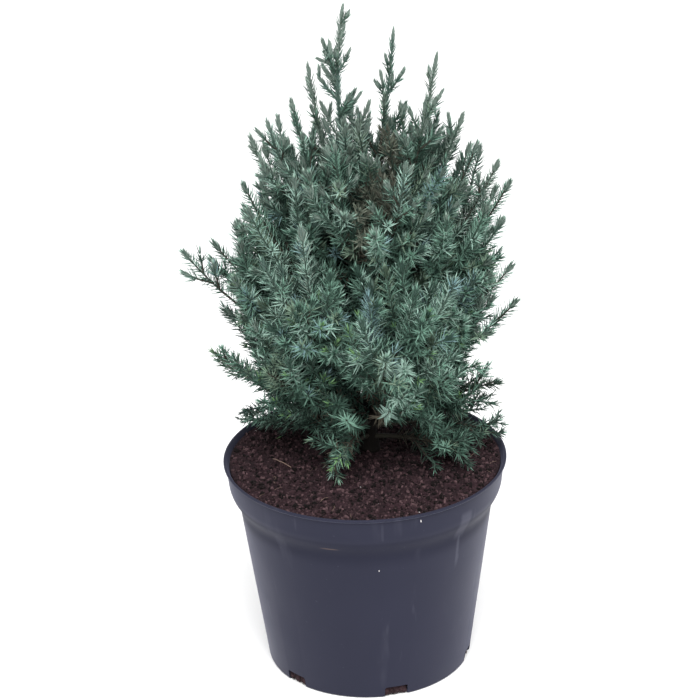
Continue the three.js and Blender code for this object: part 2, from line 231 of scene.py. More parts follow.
# The share of the finer shoots that grow, by height above the soil
FINER_HEIGHTS = (190, 260)
FINER_SHARES = (1.0, 0.3)

# The share of the spurs that grow, by the share along the limb of the twig they stand on
SPUR_PLACES = (0.2, 0.5)
SPUR_SHARES = (1.0, 0.1)

# Closed buds at the tips of the upper outer shoots
BUD_ABOVE = 100.0
BUDS_ON_SPURS_ABOVE = 190.0
BUD_LENGTH = 10.0
BUD_CLOSING = 10.0
BUD_HEIGHTS = (200, 280)
BUD_SPREADS = (26, 19)
BUD_TIP_SPREADS = (20, 12)
BUD_SIZE = 0.95
BUD_KINDS = ("frost", "bloom", "sea", "olive", "crest")

# How much darker the needles in an open place are
GAP_SHADE = 0.55

# How much darker every second whorl is
MINGLED_SHADE = 0.18

# How much darker a plume is at its foot than at its tip, as painted shade, and how far plumes differ
PLUME_SHADE = 0.34
PLUME_PLAY = 0.3

# New tips: how often, how long, up to what height and from what distance off the middle
FRESH_SHARE = 0.065
FRESH_LENGTH = 8.0
FRESH_BELOW = 150.0
FRESH_OUTSIDE = 45.0
FRESH_SIZE = 0.8

# Painted light: the crown grows lighter with its height, its needles dealt paler colours where more light
# falls and darker ones low down, by shares like that of the way out along a limb
LIGHT_HEIGHTS = (10, 50, 90, 200, 280)
HEIGHT_LIGHT = (-0.46, -0.39, -0.15, 0.44, 0.85)

# Needle lengths and widths by height above the soil, as shares of a full needle
SIZE_HEIGHTS = (10, 60, 120, 200, 300)
NEEDLE_SIZES = (0.8, 0.92, 1.0, 0.92, 0.7)
NEEDLE_WIDTHS = (0.95, 1.0, 0.98, 0.98, 1.25)
BUD_WIDTH = 1.5

# Needles at the very tip of a shoot and of a bud, as a share of those below it
TIP_SIZE = 0.74
BUD_TIP_SIZE = 0.62

# Up to a share of the way out along a limb, with the painted light and shade added to it, how often each
# colour is dealt to a spray
NEEDLE_KINDS = ("frost", "bloom", "sea", "olive", "deep", "slate", "fresh", "old", "crest", "bronze")
COLOUR_DEALS = (
    (0.25, {"old": 0.25, "deep": 0.75}),
    (0.5, {"old": 0.06, "deep": 0.58, "olive": 0.08, "sea": 0.28}),
    (0.75, {"deep": 0.26, "slate": 0.03, "olive": 0.08, "sea": 0.43, "bloom": 0.2}),
    (1.45, {"deep": 0.13, "slate": 0.04, "olive": 0.08, "sea": 0.39, "bloom": 0.27, "frost": 0.09}),
    (9.0, {"crest": 0.55, "sea": 0.15, "bloom": 0.22, "frost": 0.08}),
)

# How many of the plumes in the shaded places are bronze
BRONZE_SHARE = 0.4

# How far the light on single sprays differs, and the shortest of their needles
COLOUR_PLAY = 0.12
SHORTEST_NEEDLES = 0.8

# Pale grains stuck to the container: bearing, height and size; the straw on the peat, from end to end
STRAY_GRAINS = ((291.7, 142.3, 1.6), (274.7, 105.0, 1.0))
STRAW_ENDS = ((-61.7, -2.3), (-49.5, -14.9))

# Dry needles stay near the trunk
OLD_WITHIN = 42.0

# How far the trunk's foot stands in the peat, in millimetres
TRUNK_SINK = 1.2

# The plastic's sheen and shine on the wall and on the shoulder; the heights of the drip's blot and of its
# run, each from none to full and from full to none, in metres
PLASTIC_SHEEN = (0.125, 0.035)
PLASTIC_SHINE = (0.08, 0.045)
BLOT_HEIGHTS = (0.113, 0.122, 0.134, 0.139)
RUN_HEIGHTS = (0.09, 0.1, 0.116, 0.122)

# The drain slots' rounding, how far their cutters reach below the foot, how far the peat in them stands
# behind the wall and over the ground, in metres
SLOT_CORNER = 0.0016
SLOT_UNDERCUT = 0.004
PLUG_DEPTH = 0.0037
PLUG_FOOT = 0.0004

# The sides of the peat below its edge as radius and height, its relief, and the straw's radius and lift,
# in metres
BED_SIDES = ((0.0891, 0.1283), (0.083, 0.1186), (0.067, 0.0035))
CLOD_RELIEF = 0.0011
CRUMB_RELIEF = 0.0008
STRAW_RADIUS = 0.0003
STRAW_LIFT = 0.0012

# How far grains and fibres tumble, in radians, and the power that makes most grains small
ANY_WAY = 3.1
NEARLY_FLAT = 0.4
SMALL_GRAINS = 2.2


class OpenPlace(NamedTuple):
    """A gap in the crown, in millimetres, its heights above the soil at the trunk's foot."""

    x: float
    half_width: float
    front: float
    back: float
    low: float
    high: float

    def holds(self, place):
        x, y, z = place
        inside = abs(x - self.x) < self.half_width and self.front < y < self.back
        height = z - SOIL_TOP - SIGHT_SLOPE * (TRUNK_FOOT[1] - y)
        return inside and self.low < height < self.high


# Before the trunk's foot, then where the photo shows sky between the side plumes and beside the leaders;
# gaps rise to the front with the line of sight
SIGHT_SLOPE = 0.45
OPEN_PLACES = (
    OpenPlace(4, 13, -90, 70, -60, 46),
    OpenPlace(20, 18, -90, 70, -60, 25),
    OpenPlace(-93, 12, -60, 60, 81, 101),
    OpenPlace(-83, 12, -60, 60, 36, 56),
    OpenPlace(82, 10, -60, 60, 63, 79),
    OpenPlace(-92, 10, -60, 60, 147, 162),
    OpenPlace(-75, 8, -60, 60, 182, 194),
    OpenPlace(-74, 11, -60, 60, 198, 218),
    OpenPlace(94, 9, -60, 60, 167, 179),
    OpenPlace(76, 7, -60, 60, 200, 213),
    OpenPlace(-29, 6, -60, 60, 276, 292),
    OpenPlace(12, 5, -60, 60, 270, 290),
    OpenPlace(11, 7, -60, 60, 290, 312),
)

# Between the upper front plumes the needles are shaded
DIM_PLACES = (OpenPlace(11, 17, -50, 20, 136, 214),)


class Bend(NamedTuple):
    """A quadratic curve from start to end that leaves start towards middle, in millimetres."""

    start: np.ndarray
    middle: np.ndarray
    end: np.ndarray

    def at(self, share):
        share = np.asarray(share, float)[..., None]
        rest = 1 - share
        return rest**2 * self.start + 2 * rest * share * self.middle + share**2 * self.end

    def slope(self, share):
        return 2 * (1 - share) * (self.middle - self.start) + 2 * share * (self.end - self.middle)

    def length(self):
        return path_length(self.at(np.linspace(0, 1, 201)))

    def part(self, first, last):
        start = self.at(first)
        return Bend(start, start + self.slope(first) * (last - first) / 2, self.at(last))


class Shoot(NamedTuple):
    """A shoot with its needles' colour kind and size, wood radii in millimetres, bare share and order.

    Beyond is the length of the shoot's own next part; its whorls skip places where it has several turns.
    """

    curve: Bend
    kind: str
    size: float
    foot_radius: float
    tip_radius: float
    bare: float
    order: int
    beyond: float = 0.0
    turns: int = 1

    def at_height(self, heights, values):
        return at_height(self.curve.end, heights, values)

    def whorl_spacing(self):
        spacing = WHORL_SPACING[self.order] * self.turns
        if self.order < SPUR:
            spacing *= self.at_height(SPREAD_HEIGHTS, WHORL_SHARES)
            if self.beyond == 0 and math.hypot(*self.curve.end[:2]) > DENSE_OUTSIDE:
                spacing *= DENSE_SHARE
        return spacing

    def closing(self):
        """How far below the tip the needles stand out in full: open rosettes low down, buds on top."""
        return BUD_CLOSING if self.order == BUD else self.at_height(SPREAD_HEIGHTS, CLOSING_LENGTHS)

    def spread(self):
        """How far the needles stand out from the shoot, in degrees: more low down than on the leaders."""
        if self.order == BUD:
            return self.at_height(BUD_HEIGHTS, BUD_SPREADS)
        return self.at_height(SPREAD_HEIGHTS, NEEDLE_SPREADS)

    def tip_spread(self):
        """How far the needles at the very tip stand out from the shoot, in degrees."""
        if self.order == BUD:
            return self.at_height(BUD_HEIGHTS, BUD_TIP_SPREADS)
        return self.at_height(SPREAD_HEIGHTS, TIP_SPREADS)

    def tip_size(self):
        """How long the needles at the very tip are, as a share of those below it."""
        return BUD_TIP_SIZE if self.order == BUD else TIP_SIZE

    def width(self):
        """How wide the needles are, as a share of a full needle: broader on the leaders and in buds."""
        share = self.at_height(SIZE_HEIGHTS, NEEDLE_WIDTHS)
        return share * BUD_WIDTH if self.order == BUD else share


def at_height(place, heights, values):
    """A value that changes with the height above the soil, at a place."""
    return float(np.interp(place[2] - SOIL_TOP, heights, values))


def path_length(points):
    return float(np.linalg.norm(np.diff(points, axis=0), axis=1).sum())


def mix(a, b, share):
    return a + (b - a) * share


def unit(vector):
    return vector / np.linalg.norm(vector)


def seeded(seed):
    """Numbers from 0 to 1, the same on every run: the source's linear congruential generator."""
    state = seed

    def draw():
        nonlocal state
        state = (state * 1664525 + 1013904223) % 2**32
        return state / 2**32

    return draw


def trunk_curve():
    foot = np.array((*TRUNK_FOOT, SOIL_TOP + GAP))
    middle = np.array((*TRUNK_FOOT, SOIL_TOP + TRUNK_HEIGHT / 2))
    return Bend(foot, middle, np.array((*TRUNK_TIP, SOIL_TOP + TRUNK_HEIGHT)))


def trunk_radius(share):
    flare = ROOT_FLARE * np.exp(-share * TRUNK_HEIGHT / FLARE_HEIGHT)
    return mix(TRUNK_FOOT_RADIUS, TRUNK_TIP_RADIUS, share) + flare


def limb_curve(bearing, foot, reach, rise):
    """A limb from the trunk's axis to its tip: out first, then up."""
    start = trunk_curve().at(foot / TRUNK_HEIGHT)
    outward = directions(math.radians(bearing))[0]
    tip = outward * reach + UP * (SOIL_TOP + rise)
    middle = mix(start, tip, BEND_OUT)
    middle[2] = start[2] + max(BEND_UP * (rise - foot), LEAST_ARCH)
    return Bend(start, middle, tip)


def leader_stem():
    trunk = trunk_curve()
    heading = unit(trunk.slope(1.0))
    start = trunk.at(1.0) + heading * GAP
    tip = np.array((*LEADER_TIP, SOIL_TOP + LEADER_RISE))
    return Bend(start, start + heading * np.linalg.norm(tip - start) / 2, tip)


def side_shoots(stem, rule, draw):
    """Side shoots round a stem by the golden turn, shorter towards its tip, lifting to the light."""
    length = stem.length()
    count = max(rule.fewest, math.floor(length / rule.spacing + 0.5))
    made = []
    for k in range(count):
        share = mix(rule.first, rule.last, (k + draw()) / count)
        turn = math.radians(k * GOLDEN_TURN + TURN_PLAY * draw())
        lean = math.radians(mix(rule.angle_foot, rule.angle_tip, share))
        taper = (1 - share) ** rule.slimming
        span = rule.least + rule.share * min(length, rule.longest) * taper
        span *= mix(*rule.play, draw())
        start = stem.at(share)
        along = unit(stem.slope(share))
        side = unit(np.cross(along, UP if abs(along[2]) < STEEP else ACROSS))
        over = np.cross(side, along)
        leave = along * math.cos(lean)
        leave = leave + math.sin(lean) * (side * math.cos(turn) + over * math.sin(turn))
        tip = start + leave * span + UP * rule.lift * span
        made.append((share, Bend(start, start + leave * span / 2, tip)))
    return made


def finer_shoots(stem, rule, draw, share_kept=1.0):
    """Side shoots that the solids don't have: some of them left out, and none in the open places."""
    kept = []
    for share, shoot in side_shoots(stem, rule, draw):
        grows = draw() < share_kept
        inside = abs(shoot.end[0]) < WIDEST[0] and abs(shoot.end[1]) < WIDEST[1]
        if grows and inside and not in_gap(shoot):
            kept.append((share, shoot))
    return kept


def in_gap(shoot):
    """Whether a shoot ends in an open place or runs through one."""
    return any(held(shoot.at(share), OPEN_PLACES) for share in (0.6, 1.0))


def bare_share(stem, least):
    """The share of a stem's foot without needles: as far as it runs through an open place."""
    steps = np.linspace(0.05, MOST_BARE, 8)
    inside = [share for share in steps if held(stem.at(share), OPEN_PLACES)]
    return float(max([least, *inside]))


def held(place, gaps):
    """Whether a place is in one of the gaps."""
    return any(gap.holds(place) for gap in gaps)


def finer_share(shoot):
    """The share of finer shoots on a shoot: fewer near the top."""
    return at_height(shoot.end, FINER_HEIGHTS, FINER_SHARES)


def openness(place, limb):
    """How much light reaches a place: 0 at the trunk's foot, 1 at a limb's tip, more high in the crown."""
    out = np.linalg.norm(place - limb.start) / np.linalg.norm(limb.end - limb.start)
    if held(place, OPEN_PLACES + DIM_PLACES):
        out -= GAP_SHADE
    return float(out) + at_height(place, LIGHT_HEIGHTS, HEIGHT_LIGHT)


def colour_kind(place, limb, light, draw):
    """The needle colour dealt to a shoot by the light that reaches it, as painted light and shade: old and
    deep inside, bloomed and sea green outside.
    """
    out = openness(place, limb) + light + COLOUR_PLAY * (draw() - 0.5)
    pick = draw()
    deal = next(row for row in COLOUR_DEALS if out < row[0])[1]
    for kind, share in deal.items():
        pick -= share
        if pick < 0:
            break
    if kind == "old" and math.hypot(place[0], place[1]) > OLD_WITHIN:
        return "deep"
    return kind


def plume(twig, limb, radius, share_kept, draw):
    """A twig in two halves with the spurs on it, lighter towards its tip, with painted shade at its foot.
    """
    tone = PLUME_PLAY * (draw() - 0.5)
    size = needle_size(twig.at(0.6))
    inner = twig.part(0.0, 0.5)
    outer = twig.part(0.5, 1.0)
    middle = mix(radius, TWIG_TIP_RADIUS, 0.5)
    shades = (0.0, MINGLED_SHADE)
    kinds = [colour_kind(inner.end, limb, tone - PLUME_SHADE - dim, draw) for dim in shades]
    foot = Shoot(inner, kinds[0], size, radius, middle, TWIG_BARE, TWIG, outer.length())
    made = mingled(foot, kinds[1])
    kinds = [colour_kind(outer.end, limb, tone - dim, draw) for dim in shades]
    tip = Shoot(outer, kinds[0], size, middle, TWIG_TIP_RADIUS, 0.0, TWIG)
    made += mingled(tip, kinds[1])
    for share, spur in finer_shoots(twig, SPURS, draw, share_kept * finer_share(twig)):
        kind = colour_kind(spur.end, limb, tone - PLUME_SHADE * (1 - share), draw)
        shorter = size * mix(SHORTEST_NEEDLES, 1.0, draw())
        made.append(Shoot(spur, kind, shorter, SPUR_RADIUS, SPUR_TIP_RADIUS, SPUR_BARE, SPUR))
    if draw() < BRONZE_SHARE and held(twig.at(0.7), DIM_PLACES):
        made = [shoot._replace(kind="bronze") for shoot in made]
    return made


def mingled(shoot, other):
    """A shoot whose whorls have two colours by turns: the second set adds no wood."""
    first = shoot._replace(turns=2)
    later = min(shoot.bare + shoot.whorl_spacing() / shoot.curve.length(), MOST_BARE)
    return [first, first._replace(kind=other, foot_radius=0.0, tip_radius=0.0, bare=later)]


def needle_size(place):
    return at_height(place, SIZE_HEIGHTS, NEEDLE_SIZES)


def grow():
    """Every needled shoot of the shrub: stems and twigs as in the source, then spurs and short shoots."""
    leader = leader_stem()
    from_trunk = Bend(trunk_curve().at(0.6), leader.start, leader.end)
    stems = [(leader, from_trunk, True, LEADER_RADIUS)]
    bare_wood = []
    for bearing, foot, reach, rise, leafy in LIMBS.values():
        limb = limb_curve(bearing, foot, reach, rise)
        if leafy:
            stems.append((limb, limb, True, STEM_RADIUS))
        else:
            stem = limb.part(BARE_SHARE + GAP / limb.length(), 1.0)
            stems.append((stem, limb, False, BOUGH_TIP_RADIUS))
            bare_wood.append((limb.part(0.0, BARE_SHARE), limb, BOUGH_SPROUTS))
    bare_wood.append((trunk_curve(), trunk_curve(), TRUNK_SPROUTS))
    shoots = []
    for index, row in enumerate(stems):
        shoots += grown_stem(index, *row)
    draw = seeded(SEED * 3)
    for wood, limb, rule in bare_wood:
        for _, sprout in finer_shoots(wood, rule, draw):
            kind = colour_kind(sprout.end, limb, 0.0, draw)
            size = needle_size(sprout.end)
            shoots.append(Shoot(sprout, kind, size, SPROUT_RADIUS, SPUR_TIP_RADIUS, SPROUT_BARE, SPUR))
    return shoots + buds(shoots) + fresh_tips(shoots, draw)


def grown_stem(index, stem, limb, leafy, radius):
    """One stem in two parts with its twigs, finer twigs, lifted twigs and short shoots."""
    draw = seeded(SEED + SEED_STEP * index)
    finer = seeded(SEED * 7 + SEED_STEP * 31 * index)
    inner = stem.part(0.0, STEM_SPLIT)
    outer = stem.part(STEM_SPLIT, 1.0)
    size = needle_size(stem.end)
    middle = mix(radius, TWIG_TIP_RADIUS, 0.75)
    inner_kind = colour_kind(inner.at(0.6), limb, 0.0, finer)
    outer_kind = colour_kind(outer.end, limb, 0.0, finer)
    bare = bare_share(inner, LEAFY_BARE if leafy and index else STEM_BARE)
    shoots = [
        Shoot(inner, inner_kind, size, radius, middle, bare, STEM, outer.length()),
        Shoot(outer, outer_kind, size, middle, SPUR_TIP_RADIUS, 0.0, STEM),
    ]
    aside = abs(limb.end[0])
    at_side = aside > LIFTED_WITHIN and limb.end[2] < SOIL_TOP + SIDE_BELOW
    spray = aside > SPRAYS_OUTSIDE and limb.end[2] < SOIL_TOP + SPRAYS_BELOW
    rule = TWIGS if index else TWIGS._replace(longest=LEADER_TWIG_STEM)
    for share, twig in side_shoots(stem, rule, draw):
        if in_gap(twig):
            continue
        if at_side and not spray and share > SIDE_OPEN_FROM and finer() > SIDE_KEPT:
            continue
        kept = float(np.interp(share, SPUR_PLACES, SPUR_SHARES))
        shoots += plume(twig, limb, TWIG_RADIUS, kept, finer)
    rule = FILL_TWIGS._replace(last=SIDE_FINER) if at_side else FILL_TWIGS
    rule = FILL_TWIGS._replace(last=SPRAY_TWIGS_TO, lift=SPRAY_LIFT) if spray else rule
    for _, twig in finer_shoots(stem, rule, finer, finer_share(stem)):
        shoots += plume(twig, limb, FINE_TWIG_RADIUS, 1.0, finer)
    if index and LIFTED_FEET[0] < limb.start[2] - SOIL_TOP < LIFTED_FEET[1]:
        rule = LIFTED_TWIGS
        if aside > LIFTED_WITHIN:
            rule = rule._replace(first=LIFTED_AT_SIDES[0], last=LIFTED_AT_SIDES[1])
        for _, twig in finer_shoots(stem, rule, finer):
            shoots += plume(twig, limb, FINE_TWIG_RADIUS, 0.5, finer)
    rule = SHORT_SHOOTS._replace(last=SIDE_FINER) if at_side else SHORT_SHOOTS
    for _, spur in finer_shoots(stem, rule, finer, finer_share(stem)):
        kind = colour_kind(spur.end, limb, 0.0, finer)
        size = needle_size(spur.end) * mix(SHORTEST_NEEDLES, 1.0, finer())
        shoots.append(Shoot(spur, kind, size, SPROUT_RADIUS, SPUR_TIP_RADIUS, SPUR_BARE, SPUR))
    return shoots


def ends_in_needles(shoot):
    """Whether a shoot has wood of its own and no further half beyond it."""
    return shoot.foot_radius > 0 and shoot.beyond == 0


def last_part(curve, length, most):
    """The end of a curve, so long but no more than a share of it."""
    return curve.part(1 - min(most, length / curve.length()), 1.0)


def buds(shoots):
    """The closed needles round the tips of the upper outer shoots, on the shoots' own wood."""
    made = []
    for shoot in shoots:
        least = BUD_ABOVE if shoot.order < SPUR else BUDS_ON_SPURS_ABOVE
        high = shoot.curve.end[2] - SOIL_TOP > least
        if high and ends_in_needles(shoot) and shoot.kind in BUD_KINDS:
            tip = last_part(shoot.curve, BUD_LENGTH, 0.6)
            outside = abs(tip.end[0]) > DENSE_OUTSIDE or tip.end[2] > SOIL_TOP + BUDS_ON_SPURS_ABOVE
            kind = "crest" if outside else shoot.kind
            made.append(Shoot(tip, kind, shoot.size * BUD_SIZE, 0.0, 0.0, 0.0, BUD))
    return made


def fresh_tips(shoots, draw):
    """New yellow-green needles in the middle of some open rosettes, low on the outside of the crown."""
    tips = []
    for shoot in shoots:
        end = shoot.curve.end
        low = end[2] - SOIL_TOP < FRESH_BELOW and math.hypot(end[0], end[1]) > FRESH_OUTSIDE
        if draw() < FRESH_SHARE and low and ends_in_needles(shoot):
            tip = last_part(shoot.curve, FRESH_LENGTH, 0.4)
            tips.append(Shoot(tip, "fresh", shoot.size * FRESH_SIZE, 0.0, 0.0, 0.0, SPUR))
    return tips


def solids(start):
    """The frame's solids whose names start alike."""
    return sorted(name for name in frame["nodes"] if name.startswith(start))


# Property groups: what a user of this part would change


def metres(name, description, default):
    return FloatProperty(name=name, description=description, default=default, unit="LENGTH")


def angle(name, description, degrees):
    radians = math.radians(degrees)
    return FloatProperty(name=name, description=description, default=radians, subtype="ANGLE")


def tint(name, description, default):
    return FloatVectorProperty(name=name, description=description, default=default, subtype="COLOR")


def amount(name, description, default):
    return FloatProperty(name=name, description=description, default=default)


def whole(name, description, default, least):
    return IntProperty(name=name, description=description, default=default, min=least)


class PotSettings(PropertyGroup):
    """The nursery container."""

    height: metres("Height", "From the ground to the rim", 0.148)
    rim_radius: metres("Rim Radius", "Outside of the rim", 0.095)
    lip_width: metres("Lip Width", "Width of the rim's top", 0.0016)
    band_height: metres("Band Height", "Height of the rim band", 0.0195)
    band_top_radius: metres("Band Top Radius", "Outside of the band under the rim", 0.0933)
    band_foot_radius: metres("Band Foot Radius", "Outside of the band's foot", 0.0916)
    shoulder_height: metres("Shoulder Height", "From the band's foot to the wall", 0.01)
    wall_top_radius: metres("Wall Top Radius", "Outside of the wall under the band", 0.0855)
    wall_thickness: metres("Wall Thickness", "Thickness of the moulded wall", 0.0018)
    foot_radius: metres("Foot Radius", "Outside of the foot", 0.0694)
    floor_thickness: metres("Floor Thickness", "Thickness of the closed foot", 0.003)
    slot_count: whole("Drain Slots", "Slots round the foot", 6, 1)
    slot_bearing: angle("First Slot", "Bearing of the first slot", 284)
    slot_width: metres("Slot Width", "Width of a drain slot", 0.016)
    slot_height: metres("Slot Height", "Height of a drain slot", 0.008)
    slot_depth: metres("Slot Depth", "How far a slot cuts into the floor", 0.008)
    colour: tint("Plastic", "Slate plastic", (0.0176, 0.0184, 0.0308))
    drip_bearing: angle("Drip", "Bearing of the dried drip", -45.5)
    scrape_bearing: angle("Scrape", "Bearing of the scraped edge", -106.5)
    scrape_height: metres("Scrape Height", "Height of the scraped edge", 0.1226)
    scrape_colour: tint("Scrape Colour", "Scraped plastic", (0.2, 0.14, 0.11))
    scuff_colour: tint("Scuffs", "Dried water and dust", (0.05, 0.051, 0.07))


class SoilSettings(PropertyGroup):
    """The peat filling."""

    edge_height: metres("Edge Height", "Height of the peat at the wall", 0.1455)
    edge_radius: metres("Edge Radius", "Radius of the peat at the wall", 0.0909)
    mound: metres("Mound", "Rise of the peat to the middle", 0.001)
    crumb_size: metres("Crumb Size", "Width of a middling crumb", 0.0027)
    crumb_density: amount("Crumb Density", "Crumbs on a square metre", 95000.0)
    fibre_density: amount("Fibre Density", "Fibres on a square metre", 3500.0)
    speck_density: amount("Speck Density", "Pale grains on a square metre", 800.0)
    colour: tint("Peat", "Damp peat", (0.0235, 0.0102, 0.0138))
    dry_colour: tint("Dry Peat", "Dry crumbs", (0.088, 0.05, 0.055))
    fibre_colour: tint("Fibres", "Straw and root fibres", (0.17, 0.115, 0.09))
    speck_colour: tint("Grains", "Pale mineral grains", (0.42, 0.4, 0.4))


class WoodSettings(PropertyGroup):
    """Trunk, boughs and twigs."""

    bark_relief: metres("Bark Relief", "Depth of the bark's furrows", 0.0005)
    trunk_sides: whole("Trunk Sides", "Faces round the trunk", 28, 8)
    bough_sides: whole("Bough Sides", "Faces round a bough", 14, 6)
    bark_colour: tint("Bark", "Older bark", (0.021, 0.016, 0.0125))
    strip_colour: tint("Bark Strips", "Peeling strips", (0.04, 0.031, 0.024))
    twig_colour: tint("Twigs", "Two-year wood", (0.032, 0.029, 0.021))
    green_colour: tint("Green Shoots", "This year's wood", (0.05, 0.085, 0.066))


class NeedleSettings(PropertyGroup):
    """The needles and their colours, the upper face with its bloom first."""

    length: metres("Length", "Length of a full needle", 0.0105)
    width: metres("Width", "Width of a full needle", 0.00102)
    lowest: metres("Lowest Tip", "No needle reaches lower", 0.1488)
    frost_upper: tint("Frost", "Palest blue bloom", (0.385, 0.575, 0.49))
    frost_lower: tint("Frost Back", "Back of it", (0.0805, 0.1323, 0.115))
    bloom_upper: tint("Bloom", "Pale bloom", (0.315, 0.465, 0.39))
    bloom_lower: tint("Bloom Back", "Back of it", (0.0575, 0.1012, 0.0839))
    sea_upper: tint("Sea Green", "Sea green", (0.174, 0.316, 0.244))
    sea_lower: tint("Sea Green Back", "Back of it", (0.0355, 0.0715, 0.0545))
    olive_upper: tint("Olive", "Yellowish green", (0.18, 0.262, 0.19))
    olive_lower: tint("Olive Back", "Back of it", (0.042, 0.068, 0.046))
    deep_upper: tint("Deep Green", "Shaded inner needles", (0.073, 0.142, 0.107))
    deep_lower: tint("Deep Green Back", "Back of it", (0.0218, 0.0403, 0.031))
    slate_upper: tint("Slate", "Shaded blue-grey", (0.205, 0.335, 0.345))
    slate_lower: tint("Slate Back", "Back of it", (0.0403, 0.069, 0.0701))
    fresh_upper: tint("Fresh Green", "New tips", (0.184, 0.345, 0.1437))
    fresh_lower: tint("Fresh Green Back", "Back of it", (0.0862, 0.1725, 0.0667))
    crest_upper: tint("Crest", "Closed tips", (0.36, 0.472, 0.402))
    crest_lower: tint("Crest Back", "Back of it", (0.123, 0.164, 0.14))
    bronze_upper: tint("Bronze", "Shaded upper shoots", (0.172, 0.196, 0.152))
    bronze_lower: tint("Bronze Back", "Back of it", (0.056, 0.058, 0.044))
    old_upper: tint("Old Needles", "Dry needles", (0.125, 0.112, 0.085))
    old_lower: tint("Old Needles Back", "Back of it", (0.043, 0.037, 0.028))


class StageSettings(PropertyGroup):
    """Floor, light and camera."""

    floor_size: metres("Floor", "Side of the floor", 12.0)
    floor_colour: tint("Floor Colour", "Pale floor", (0.9, 0.9, 0.9))
    room_light: amount("Room Light", "Light from all round", 0.8)
    key_power: amount("Key Light", "Large soft light in front", 200.0)
    target_x: metres("Target X", "Point the camera looks at", -0.007938)
    target_z: metres("Target Z", "Point the camera looks at", 0.224965)
    distance: metres("Camera Distance", "From the target", 1.634158)
    elevation: angle("Camera Elevation", "Above level", 24.196)
    roll: angle("Camera Roll", "About the line of sight", -1.62)
    lens: amount("Lens", "Focal length in millimetres", 127.603)


# Meshes


def add_object(name, mesh):
    made = bpy.data.objects.new(name, mesh)
    bpy.context.scene.collection.objects.link(made)
    return made


def mesh_from(name, points, faces, smooth=True):
    mesh = bpy.data.meshes.new(name)
    mesh.from_pydata([tuple(map(float, p)) for p in points], [], faces)
    mesh.validate()
    mesh.polygons.foreach_set("use_smooth", [smooth] * len(mesh.polygons))
    mesh.update()
    return mesh


def rounded(corners, steps=6):
    """An outline of (radius, height) through corners (radius, height, rounding), each corner an arc."""
    outline = []
    for k, (r, z, rounding) in enumerate(corners):
        corner = np.array((r, z), float)
        if rounding == 0:
            outline.append(corner)
            continue
        before = np.array(corners[k - 1][:2], float) - corner
        after = np.array(corners[k + 1][:2], float) - corner
        reach = [np.linalg.norm(before), np.linalg.norm(after)]
        cosine = np.dot(before, after) / (reach[0] * reach[1])
        half = math.acos(max(-1.0, min(1.0, cosine))) / 2
        run = min(rounding / math.tan(half), 0.49 * min(reach))
        first = corner + before / reach[0] * run
        last = corner + after / reach[1] * run
        outline.extend(Bend(first, corner, last).at(np.linspace(0, 1, steps + 1)))
    return outline


def circle(radius, segments):
    """Points (x, y) round the axis."""
    turns = [2 * math.pi * n / segments for n in range(segments)]
    return [(radius * math.cos(turn), radius * math.sin(turn)) for turn in turns]


def between(low, high, segments):
    """Faces between two rings of points that start at given numbers, the second below or outside."""
    ahead = [(n + 1) % segments for n in range(segments)]
    return [(low + n, high + n, high + m, low + m) for n, m in enumerate(ahead)]


def turned(name, outline, segments):
    """A closed surface: an outline from the axis round to the axis, turned about Z."""
    points = []
    rows = []
    for r, z in outline:
        first = len(points)
        if r < 1e-9:
            rows.append([first] * segments)
            points.append((0.0, 0.0, z))
        else:
            rows.append(list(range(first, first + segments)))
            points.extend((x, y, z) for x, y in circle(r, segments))
    faces = []
    for low, high in zip(rows, rows[1:]):
        for k in range(segments):
            n = (k + 1) % segments
            face = list(dict.fromkeys((low[k], low[n], high[n], high[k])))
            if len(face) > 2:
                faces.append(face)
    return mesh_from(name, points, faces)


def directions(bearing):
    """The outward and the sideways direction at a bearing."""
    outward = np.array((math.cos(bearing), math.sin(bearing), 0.0))
    return outward, np.cross(UP, outward)


def slot_directions(pot):
    """The outward and the sideways direction of each drain slot."""
    steps = [2 * math.pi * k / pot.slot_count for k in range(pot.slot_count)]
    return [directions(pot.slot_bearing + step) for step in steps]


def sweep(path, radii, sides, relief=None):
    """Points and faces of a closed tube along a path; relief(point) adds to its radius."""
    path = np.asarray(path, float)
    slopes = np.gradient(path, axis=0)
    slopes /= np.linalg.norm(slopes, axis=1)[:, None]
    side = unit(np.cross(slopes[0], ACROSS if abs(slopes[0][0]) < STEEP else UP))
    points = []
    for k, (centre, slope) in enumerate(zip(path, slopes)):
        side = unit(side - slope * np.dot(side, slope))
        over = np.cross(slope, side)
        for n in range(sides):
            turn = 2 * math.pi * n / sides
            out = side * math.cos(turn) + over * math.sin(turn)
            radius = radii[k]
            if relief is not None:
                radius += relief(centre + out * radius)
            points.append(centre + out * radius)
    faces = []
    last = len(path) - 1
    for k in range(last):
        for n in range(sides):
            m = (n + 1) % sides
            faces.append((k * sides + n, k * sides + m, (k + 1) * sides + m, (k + 1) * sides + n))
    foot = len(points)
    points.append(path[0] - slopes[0] * radii[0] * 0.4)
    points.append(path[-1] + slopes[-1] * radii[-1] * 0.6)
    for n in range(sides):
        m = (n + 1) % sides
        faces.append((foot, m, n))
        faces.append((foot + 1, last * sides + n, last * sides + m))
    return points, faces


def joined(parts):
    """Points and faces of several shapes as one."""
    points = []
    faces = []
    for some_points, some_faces in parts:
        offset = len(points)
        points.extend(some_points)
        faces.extend(tuple(n + offset for n in face) for face in some_faces)
    return points, faces


